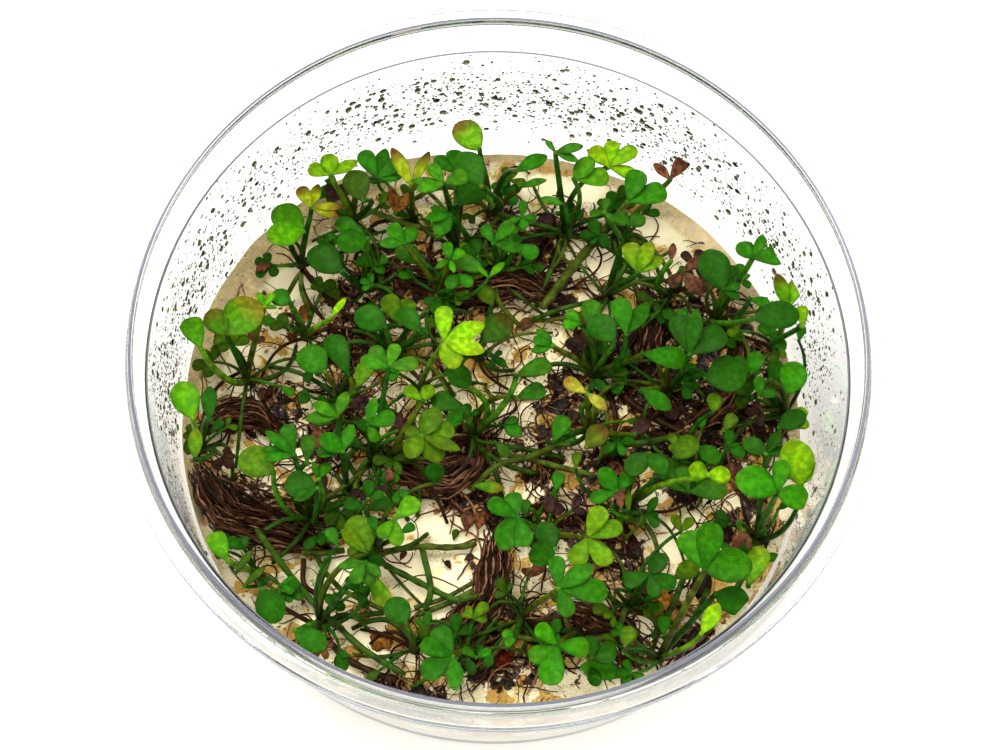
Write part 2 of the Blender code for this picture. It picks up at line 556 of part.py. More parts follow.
def hub_sides(leaves):
    """Side directions of a hub: one for each leaflet, and plain ones where the gap is too wide."""
    sides = [(leaf[0] % 360.0, leaf) for leaf in leaves]
    while True:
        sides.sort(key=lambda s: s[0])
        gaps = [((sides[(k + 1) % len(sides)][0] - sides[k][0]) % 360.0 or 360.0, k) for k in range(len(sides))]
        wide, k = max(gaps)
        if len(sides) >= 3 and wide < 170.0:
            return sides
        sides.append(((sides[k][0] + wide / 2.0) % 360.0, None))


def add_frond(bm, crown, path, hub, leaves):
    """Grows a stalk from a free face of the crown, and a leaflet from each side of the hub on top of it."""
    way = Vector(path[1] - crown).normalized()
    free = [f for f in bm.faces if f.tag]
    face = max(free, key=lambda f: f.normal.dot(way) - 0.12 * sum(1 for v in f.verts if v.tag))
    ring = list(face.verts)
    middle = face.calc_center_median() / MM
    for vert in ring:
        vert.tag = True
    bm.faces.remove(face)
    for k in range(1, len(path)):
        here = Vector(path[k])
        ahead = Vector(path[min(k + 1, len(path) - 1)])
        behind = Vector(path[k - 1])
        along = (ahead - behind).normalized()
        spoke = ring[0].co / MM - middle
        spoke = (spoke - along * spoke.dot(along)).normalized()
        turn = along.cross(spoke)
        radius = PETIOLE_RADIUS * (1.25 if k == 1 else 1.05)
        new = []
        for j in range(PETIOLE_SIDES):
            t = 2 * pi * j / PETIOLE_SIDES
            new.append(bm.verts.new((here + (spoke * cos(t) + turn * sin(t)) * radius) * MM))
        for j in range(PETIOLE_SIDES):
            n = (j + 1) % PETIOLE_SIDES
            bm.faces.new((ring[j], ring[n], new[n], new[j]))
        ring, middle = new, here

    sides = hub_sides(leaves)
    count = len(sides)
    edges = []
    for k in range(count):
        before, now = sides[k - 1][0], sides[k][0]
        edges.append(radians(before + ((now - before) % 360.0) / 2.0))
    low, top = [], []
    for t in edges:
        out = Vector((cos(t), sin(t), 0.0)) * HUB_RADIUS
        low.append(bm.verts.new((Vector(hub) + out - Vector((0, 0, HUB_HALF_HEIGHT))) * MM))
        top.append(bm.verts.new((Vector(hub) + out + Vector((0, 0, HUB_HALF_HEIGHT))) * MM))
    bridge(bm, ring, low)
    bm.faces.new(top)
    order = {leaf: n for n, leaf in enumerate(sorted(leaves))}
    for k in range(count):
        n = (k + 1) % count
        root = [low[k], low[n], top[n], top[k]]
        leaf = sides[k][1]
        if leaf is None:
            bm.faces.new(root)
            continue
        gap = min((sides[k][0] - sides[k - 1][0]) % 360.0, (sides[n][0] - sides[k][0]) % 360.0)
        azimuth, length, width = leaf
        width = min(width, WIDTH_SHARE * length * np.tan(radians(min(gap, 110.0) / 2.0)))
        leaf_now = (azimuth, length, width)
        axes = blade_frame(leaf, order[leaf])
        stations = [(0.62, 0.5, 1.0), (0.98, 0.27, 0.8)] if length > SMALL_BLADE else [(0.85, 0.45, 0.8)]
        for u, v, thick in stations:
            t = BLADE_HALF_THICKNESS * thick
            corners = [(-v, -t), (v, -t), (v, t), (-v, t)]
            new = [bm.verts.new(Vector(blade_point(hub, leaf_now, axes, u, w, t)) * MM) for w, t in corners]
            for j in range(4):
                m = (j + 1) % 4
                bm.faces.new((root[j], root[m], new[m], new[j]))
            root = new
        bm.faces.new(root)


def build():
    for obj in list(bpy.data.objects):
        bpy.data.objects.remove(obj, do_unlink=True)
    parts = bpy.data.collections.new("Dwarf water clover cup")
    bpy.context.scene.collection.children.link(parts)

    cup_profile = [
        (0.0, CUP_FLOOR), (BASE_RADIUS - 1.0, CUP_FLOOR), (INNER_RADIUS_LOW - 0.7, 2.3),
        (INNER_RADIUS_LOW, LOW_HEIGHT), (INNER_RADIUS_LEDGE, LEDGE_HEIGHT),
        (RIM_RADIUS - 0.9, LEDGE_HEIGHT + 0.5), (RIM_RADIUS - 0.5, CUP_HEIGHT), (RIM_RADIUS + 0.4, CUP_HEIGHT),
        (RIM_RADIUS + 1.4, CUP_HEIGHT - 1.4), (SKIRT_RADIUS, CUP_HEIGHT - 2.2), (SKIRT_RADIUS, CUP_HEIGHT - 4.0),
        (SKIRT_RADIUS - 0.8, CUP_HEIGHT - 4.0), (RIM_RADIUS + 0.5, CUP_HEIGHT - 2.6),
        (RIM_RADIUS + 0.1, LEDGE_HEIGHT - 0.3),
        (INNER_RADIUS_LEDGE + CUP_WALL, LEDGE_HEIGHT - 1.2), (INNER_RADIUS_LOW + CUP_WALL, LOW_HEIGHT - 0.4),
        (INNER_RADIUS_LOW - 0.2, 0.8), (BASE_RADIUS, 0.0), (0.0, 0.0)]
    turned("cup", cup_profile, CUP_STEPS, "cup", parts)

    gel_edge = wall_radius(GEL_LEVEL) - GAP
    gel_profile = [(0.0, GEL_LEVEL)]
    gel_profile += [(r, GEL_LEVEL) for r in (10.0, 18.0, 25.0, 31.0, 37.0, 41.5, gel_edge)]
    gel_profile += [(INNER_RADIUS_LOW - GAP, LOW_HEIGHT + 0.6), (INNER_RADIUS_LOW - 1.4, 2.5),
                    (BASE_RADIUS - 1.6, CUP_FLOOR + GAP), (0.0, CUP_FLOOR + GAP)]
    profile_obj = turned("gel_profile", gel_profile, GEL_STEPS, "gel", parts)
    gel_mesh = evaluated_mesh(profile_obj)
    bpy.data.objects.remove(profile_obj, do_unlink=True)
    gel_mesh.name = "agar_gel"
    for v in gel_mesh.vertices:
        if v.co.z > (GEL_LEVEL - 0.01) * MM:
            x, y = v.co.x / MM, v.co.y / MM
            z = gel_level(x, y)
            r = hypot(x, y)
            if r > gel_edge - 0.01:
                k = (wall_radius(z) - GAP - 0.05) / r
                x, y = x * k, y * k
            v.co = Vector((x, y, z)) * MM
    gel = add_object("agar_gel", gel_mesh, "gel", parts)
    bpy.context.view_layer.update()
    trees = [surface_tree(gel)]
    placed = np.zeros((0, 4))

    for i, mat_points in enumerate(ROOT_MATS):
        rows = resample([(x, y, w, h) for x, y, w, h in mat_points], 4.0)
        path, radii = [], []
        for x, y, w, h in rows:
            spread = [on_ground(x + dx, y + dy, 0.0, trees)[2]
                      for dx in (-w / 2, 0, w / 2) for dy in (-w / 2, 0, w / 2)]
            p = inside_wall(seen(x, y, max(spread) + GAP + h / 2 + 0.15), w / 2 + 0.5)
            path.append(p)
            radii.append((w / 2, h / 2))
        bm = bmesh.new()
        loft(bm, tube_rings(path, radii, MAT_SIDES))
        mesh = bpy.data.meshes.new("root_mat_%02d" % (i + 1))
        bm.to_mesh(mesh)
        bm.free()
        mat_obj = add_object(mesh.name, mesh, "root", parts)
        dense = []
        for a, b, (w0, h0), (w1, h1) in zip(path, path[1:], radii, radii[1:]):
            along = b - a
            across = np.array([-along[1], along[0], 0.0]) / max(hypot(along[0], along[1]), 1e-6)
            for t in np.linspace(0, 1, 7):
                w, h = w0 + (w1 - w0) * t, h0 + (h1 - h0) * t
                for s in np.linspace(-1, 1, 9):
                    q = a + along * t + across * (s * max(w - h * 0.7, 0.0))
                    dense.append([q[0], q[1], q[2], h])
        placed = np.vstack([placed, np.array(dense)])
        bpy.context.view_layer.update()
        trees.append(surface_tree(mat_obj))

    for i, (kind, radius, points) in enumerate(RUNNERS):
        rows = resample(points, 1.6)
        heights = []
        for x, y, clear in rows:
            p = on_ground(x, y, 0.0, trees)
            top = max(ground(p[0] + dx, p[1] + dy, trees) for dx in (-0.9, 0, 0.9) for dy in (-0.9, 0, 0.9))
            heights.append(top + clear)
        smooth = [max(heights[max(0, j - 2):j + 3]) for j in range(len(heights))]
        smooth = [sum(smooth[max(0, j - 2):j + 3]) / len(smooth[max(0, j - 2):j + 3]) for j in range(len(smooth))]
        path = [inside_wall(seen(x, y, max(z, h) + GAP + radius + 0.1), radius + 0.7)
                for (x, y, _), z, h in zip(rows, smooth, heights)]
        path = path[::2] + ([path[-1]] if len(path) % 2 == 0 else [])
        runner = add_tube("runner_%02d" % (i + 1), path, radius, kind, parts)
        dense = []
        for a, b in zip(path, path[1:]):
            for t in np.linspace(0, 1, 6):
                q = a + (b - a) * t
                dense.append([q[0], q[1], q[2], radius])
        placed = np.vstack([placed, np.array(dense)])
        bpy.context.view_layer.update()
        trees.append(surface_tree(runner))

    for i, (kind, cx, cy, fronds) in enumerate(SHOOTS):
        name = "shoot_%02d" % (i + 1)
        base = on_ground(cx, cy, CROWN_RADIUS + GAP + 0.1, trees)
        crown = base
        for lift in (0.0, 0.7, 1.4, 2.1, 2.8, 3.5, 4.2):
            trial = inside_wall(seen(cx, cy, base[2] + lift), CROWN_RADIUS + 0.6)
            if clearance([trial], CROWN_RADIUS + 0.05, placed) > GAP:
                crown = trial
                break
        bm = bmesh.new()
        bmesh.ops.create_icosphere(bm, subdivisions=1, radius=CROWN_RADIUS * MM)
        bmesh.ops.translate(bm, verts=bm.verts, vec=Vector(crown) * MM)
        for vert in bm.verts:
            vert.tag = False
        for face in bm.faces:
            face.tag = True
            face.normal_update()
        own = [[crown[0], crown[1], crown[2], CROWN_RADIUS + 0.05]]
        spread = np.zeros((0, 4))
        for frond in fronds:
            others = np.vstack([placed, spread])
            hub, rise, sway, path, blades = place_frond(crown, frond, others)
            coarse = petiole_path(crown, hub, rise, sway, 4)
            coarse[-1] = hub - np.array([0, 0, 0.6])
            add_frond(bm, crown, coarse, hub, frond[3])
            mine = [[p[0], p[1], p[2], PETIOLE_RADIUS + SPHERE_MARGIN] for p in path]
            mine += [[p[0], p[1], p[2], BLADE_SPHERE] for p in blades]
            mine = np.array(mine)
            own += mine.tolist()
            away = np.linalg.norm(mine[:, :3] - crown, axis=1) > 2.6
            spread = np.vstack([spread, mine[away]])
        placed = np.vstack([placed, np.array(own)])
        mesh = bpy.data.meshes.new(name)
        bm.to_mesh(mesh)
        bm.free()
        add_object(name, mesh, kind, parts)


build()
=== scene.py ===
import math
import random

import bpy
import numpy as np
from mathutils import Matrix, Vector, noise
from mathutils.bvhtree import BVHTree


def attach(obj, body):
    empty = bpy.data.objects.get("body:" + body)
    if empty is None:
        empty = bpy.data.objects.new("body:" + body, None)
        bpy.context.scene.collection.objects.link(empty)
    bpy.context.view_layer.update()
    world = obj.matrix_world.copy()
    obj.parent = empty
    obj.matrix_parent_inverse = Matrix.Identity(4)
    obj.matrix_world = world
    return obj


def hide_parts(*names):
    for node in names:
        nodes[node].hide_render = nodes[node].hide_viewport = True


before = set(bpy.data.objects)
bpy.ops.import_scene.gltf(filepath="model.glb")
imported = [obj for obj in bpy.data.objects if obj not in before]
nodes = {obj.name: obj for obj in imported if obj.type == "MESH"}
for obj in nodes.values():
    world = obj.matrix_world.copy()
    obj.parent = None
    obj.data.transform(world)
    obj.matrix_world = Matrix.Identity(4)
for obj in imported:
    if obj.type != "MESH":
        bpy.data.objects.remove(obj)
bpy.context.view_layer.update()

mm = 0.001  # every size in the dictionaries below is in millimetres

# colours and nodes


def hexColour(code):
    linear = []
    for i in (1, 3, 5):
        c = int(code[i:i + 2], 16) / 255
        linear.append(c / 12.92 if c <= 0.04045 else ((c + 0.055) / 1.055) ** 2.4)
    return (*linear, 1.0)


def addNode(tree, kind, inputs=None, out=0, **settings):  # links a value that is a socket, gives one output
    node = tree.nodes.new("ShaderNode" + kind)
    for key, value in settings.items():
        setattr(node, key, value)
    for key, value in (inputs or {}).items():
        if isinstance(value, bpy.types.NodeSocket):
            tree.links.new(value, node.inputs[key])
        else:
            node.inputs[key].default_value = value
    return node.outputs[out]


smoothStep = {"interpolation_type": "SMOOTHSTEP"}  # settings that many nodes share
multiplyAdd = {"operation": "MULTIPLY_ADD"}
mixed = {"out": 2, "data_type": "RGBA"}
multiplied = {**mixed, "blend_type": "MULTIPLY"}


def newMaterial(name, **plain):
    mat = bpy.data.materials.new(name)
    mat.use_nodes = True
    bsdf = mat.node_tree.nodes["Principled BSDF"]
    for key, value in plain.items():
        bsdf.inputs[key.replace("_", " ")].default_value = value
    return mat, mat.node_tree, bsdf


# modelling helpers


def startModelling():
    if bpy.context.object and bpy.context.object.mode != "OBJECT":
        bpy.ops.object.mode_set(mode="OBJECT")
    bpy.ops.object.select_all(action="DESELECT")


def selectVerts(obj, wanted):  # picks vertices in code and comes back in edit mode
    bpy.ops.object.mode_set(mode="OBJECT")
    for poly in obj.data.polygons:
        poly.select = False
    for edge in obj.data.edges:
        edge.select = False
    for vert in obj.data.vertices:
        vert.select = bool(wanted(vert.co))
    bpy.ops.object.mode_set(mode="EDIT")
    bpy.ops.mesh.select_mode(type="VERT")


def applyAll(obj):
    startModelling()
    obj.select_set(True)
    bpy.context.view_layer.objects.active = obj
    for modifier in list(obj.modifiers):
        bpy.ops.object.modifier_apply(modifier=modifier.name)


def finishPiece(obj, replaced, angle=40):
    startModelling()
    obj.select_set(True)
    bpy.context.view_layer.objects.active = obj
    bpy.ops.object.transform_apply(location=True, rotation=True, scale=True)
    if angle:
        bpy.ops.object.shade_smooth_by_angle(angle=math.radians(angle))
    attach(obj, "root")
    if replaced:
        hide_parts(*replaced)


def shapeOf(obj):  # a modelled master read once as arrays, so that each copy can have its own mesh
    me = obj.data
    points = np.empty(len(me.vertices) * 3)
    me.vertices.foreach_get("co", points)
    loops = np.empty(len(me.loops), dtype=np.int64)
    me.loops.foreach_get("vertex_index", loops)
    starts = np.empty(len(me.polygons), dtype=np.int64)
    me.polygons.foreach_get("loop_start", starts)
    uv = np.zeros(len(me.loops) * 2)
    if me.uv_layers.active:
        me.uv_layers.active.data.foreach_get("uv", uv)
    shape = {"points": points.reshape(-1, 3), "loops": loops, "starts": starts, "uv": uv.reshape(-1, 2)}
    bpy.data.objects.remove(obj, do_unlink=True)
    return shape


def joinCopies(name, copies, materials):  # copies: (shape, points in mm, tone array, material index)
    points, loops, starts, uv, tones, slots = [], [], [], [], [], []
    vertCount = loopCount = 0
    for shape, place, tone, slot in copies:
        points.append(place * mm)
        loops.append(shape["loops"] + vertCount)
        starts.append(shape["starts"] + loopCount)
        uv.append(shape["uv"])
        tones.append(np.broadcast_to(tone, (len(place), 4)))
        slots.append(np.full(len(shape["starts"]), slot))
        vertCount += len(place)
        loopCount += len(shape["loops"])
    me = bpy.data.meshes.new(name)
    me.vertices.add(vertCount)
    me.vertices.foreach_set("co", np.concatenate(points).ravel())
    me.loops.add(loopCount)
    me.loops.foreach_set("vertex_index", np.concatenate(loops))
    starts = np.concatenate(starts)
    me.polygons.add(len(starts))
    me.polygons.foreach_set("loop_start", starts)
    me.polygons.foreach_set("material_index", np.concatenate(slots))
    me.polygons.foreach_set("use_smooth", np.ones(len(starts), dtype=bool))
    me.uv_layers.new(name="UVMap").data.foreach_set("uv", np.concatenate(uv).ravel())
    toneLayer = me.color_attributes.new("tone", "FLOAT_COLOR", "POINT")
    toneLayer.data.foreach_set("color", np.concatenate(tones).ravel())
    me.update(calc_edges=True)
    me.validate()
    for mat in materials:
        me.materials.append(mat)
    obj = bpy.data.objects.new(name, me)
    bpy.context.scene.collection.objects.link(obj)
    return obj


# the plants' places: the same readings and the same line of sight as the solids were laid out with

layout = {
    "eyeY": -131.1, "eyeZ": 368.5, "planZ": 20.0,
    "innerLow": 45.0, "innerLedge": 47.9, "lowHeight": 4.2, "ledgeHeight": 37.7,
    "gelLevel": 8.6, "gelRimFrom": 26.0, "gelRimWide": 19.0, "gelRises": (9.0, 4.5),
    "gap": 0.3, "wallMargin": 0.9, "groundMargin": 1.6, "overAll": 60.0, "farAway": 99.0,
    "petioleRadius": 0.42, "sphereMargin": 0.06, "bladeSphere": 0.32,
    "crownRadius": 0.85, "crownMargin": 0.05,
    "bendNear": 0.30, "bendFar": 0.86, "bendFarRise": 0.82, "pathSteps": 24,
    "bladeDish": 0.35, "bladeDroop": 0.10, "bladeTilts": (4.0, 18.0), "tiltSway": 5.0, "sampleStep": 0.7,
    "hubTop": 33.0, "hubMargin": 1.8, "leastRise": 2.5,
}


def seen(x, y, z):  # the point at height z that shows at plan x, y
    k = (z - layout["planZ"]) / (layout["eyeZ"] - layout["planZ"])
    return np.array([x - x * k, y - (y - layout["eyeY"]) * k, z])


def wallRadius(z):
    k = (z - layout["lowHeight"]) / (layout["ledgeHeight"] - layout["lowHeight"])
    return layout["innerLow"] + (layout["innerLedge"] - layout["innerLow"]) * min(max(k, 0.0), 1.0)


def insideWall(p, margin=layout["wallMargin"]):
    r = math.hypot(p[0], p[1])
    limit = wallRadius(p[2]) - margin
    if r > limit:
        return np.array([p[0] * limit / r, p[1] * limit / r, p[2]])
    return p


def gelHeight(x, y):  # it stands up against the wall at the left and at the back
    r = math.hypot(x, y)
    rim = max(0.0, (r - layout["gelRimFrom"]) / layout["gelRimWide"])
    left = max(0.0, (-0.90 * x + 0.42 * y) / layout["innerLow"] - 0.45)
    right = max(0.0, (0.70 * x + 0.72 * y) / layout["innerLow"] - 0.6)
    ripple = 0.32 * math.sin(0.33 * x + 0.8) * math.cos(0.29 * y - 0.4) + 0.18 * math.sin(0.61 * x + 0.47 * y)
    leftRise, rightRise = layout["gelRises"]
    return layout["gelLevel"] + ripple + leftRise * left * rim + rightRise * right * rim


def surfaceTree(name):
    me = nodes[name].data
    return BVHTree.FromPolygons([v.co / mm for v in me.vertices], [tuple(p.vertices) for p in me.polygons])


def groundHeight(x, y, trees):
    top = 0.0
    for tree in trees:
        hit = tree.ray_cast(Vector((x, y, layout["overAll"])), Vector((0.0, 0.0, -1.0)))[0]
        if hit is not None:
            top = max(top, hit.z)
    return round(top, 2)


def onGround(x, y, lift, trees, guess=10.0):  # where the line of sight through plan x, y meets the ground
    z = guess
    for _ in range(4):
        p = insideWall(seen(x, y, z), layout["groundMargin"])
        z = groundHeight(p[0], p[1], trees) + lift
    return insideWall(seen(x, y, z), layout["groundMargin"])


def resample(points, step):  # a smooth curve through the points, in steps of about this length
    pts = [np.array(p, float) for p in points]
    pts = [2 * pts[0] - pts[1]] + pts + [2 * pts[-1] - pts[-2]]
    out = []
    for i in range(1, len(pts) - 2):
        a, b, c, d = pts[i - 1:i + 3]
        n = max(1, int(round(np.linalg.norm((c - b)[:2]) / step)))
        for j in range(n):
            t = j / n
            out.append(0.5 * (2 * b + (c - a) * t + (2 * a - 5 * b + 4 * c - d) * t * t
                              + (3 * b - a - 3 * c + d) * t ** 3))
    out.append(pts[-2])
    return out


def petiolePath(crown, hub, rise, sway, count):  # a stalk climbs first and bends over to its leaf
    flat = np.array([hub[0] - crown[0], hub[1] - crown[1], 0.0])
    dz = hub[2] - crown[2]
    cross = np.array([-flat[1], flat[0], 0.0])
    length = math.hypot(flat[0], flat[1])
    if length > 1e-6:
        cross = cross / length
    b = crown + flat * layout["bendNear"] + np.array([0, 0, dz * rise]) + cross * sway
    c = crown + flat * layout["bendFar"] + np.array([0, 0, dz * layout["bendFarRise"]]) + cross * sway * 0.5
    out = []
    for i in range(count):
        t = i / (count - 1)
        s = 1 - t
        out.append(insideWall(crown * s ** 3 + b * 3 * s * s * t + c * 3 * s * t * t + hub * t ** 3))
    return out


def bladeFrame(leaf, order):  # along, across and up from a leaflet's face; neighbours tilt unlike each other
    azimuth = leaf[0]
    tilt = math.radians(layout["bladeTilts"][order % 2] + layout["tiltSway"] * math.sin(azimuth * 1.7))
    a = math.radians(azimuth)
    along = np.array([math.cos(a) * math.cos(tilt), math.sin(a) * math.cos(tilt), math.sin(tilt)])
    across = np.array([-math.sin(a), math.cos(a), 0.0])
    return along, across, np.cross(along, across)


def bladeSamples(hub, leaf, axes):  # points spread over a leaflet
    along, across, up = axes
    _, length, width = leaf
    out = []
    for u in np.linspace(0.12, 1.0, max(3, int(length / layout["sampleStep"]) + 1)):
        half = 0.5 * min(1.0, 0.25 + 1.15 * u) * (1.0 if u < 0.85 else 0.75)
        for v in np.linspace(-half, half, max(3, int(width / layout["sampleStep"]) + 1)):
            dish = layout["bladeDish"] * v * v * width - layout["bladeDroop"] * length * u * u
            out.append(insideWall(hub + along * (u * length) + across * (v * width) + up * dish))
    return out


def ballsOn(points, radius):  # small balls stand in for stalks and leaflets when gaps are measured
    return [[p[0], p[1], p[2], radius] for p in points]


def clearance(points, radius, others):  # the least gap between balls on the points and the other balls
    if len(others) == 0:
        return layout["farAway"]
    pts = np.array(points)
    low = pts.min(axis=0) - 3.0
    high = pts.max(axis=0) + 3.0
    near = others[np.all((others[:, :3] > low) & (others[:, :3] < high), axis=1)]
    if len(near) == 0:
        return layout["farAway"]
    d = np.sqrt(((pts[:, None, :] - near[None, :, :3]) ** 2).sum(axis=2))
    return float((d - near[None, :, 3] - radius).min())


hubShifts = [(dz, 0, 0) for dz in (0, 1, -1, 2, -2, 3, -3, 4.5, 6, 7.5, -4.5)]
hubShifts += [(dz, dx, dy) for dz in (0, 2, -2, 4) for dx, dy in ((1, 0), (-1, 0), (0, 1), (0, -1))]
bends = [(0.55, 0), (0.85, 0), (0.3, 0), (0.6, 1.4), (0.6, -1.4),
         (0.8, 2.6), (0.8, -2.6), (0.4, 4.0), (0.4, -4.0)]


def placeFrond(crown, frond, placed, wanted=layout["gap"]):  # hub height and bend that keep a frond clear
    x, y, z, leaves = frond
    stalkRadius = layout["petioleRadius"] + layout["sphereMargin"]
    best = None
    widest = -layout["farAway"]
    for dz, dx, dy in hubShifts:
        hub = insideWall(seen(x + dx, y + dy, z + dz), layout["hubMargin"])
        if hub[2] < crown[2] + layout["leastRise"] or hub[2] > layout["hubTop"]:
            continue
        blades = []
        for order, leaf in enumerate(sorted(leaves)):
            blades += bladeSamples(hub, leaf, bladeFrame(leaf, order))
        bladeGap = clearance(blades, layout["bladeSphere"], placed)
        for rise, sway in bends:
            path = petiolePath(crown, hub, rise, sway, layout["pathSteps"])
            gap = min(bladeGap, clearance(path[2:], stalkRadius, placed))
            if gap > widest:
                widest = gap
                best = (hub, rise, sway, path, blades)
            if gap > wanted:
                return best
    return best


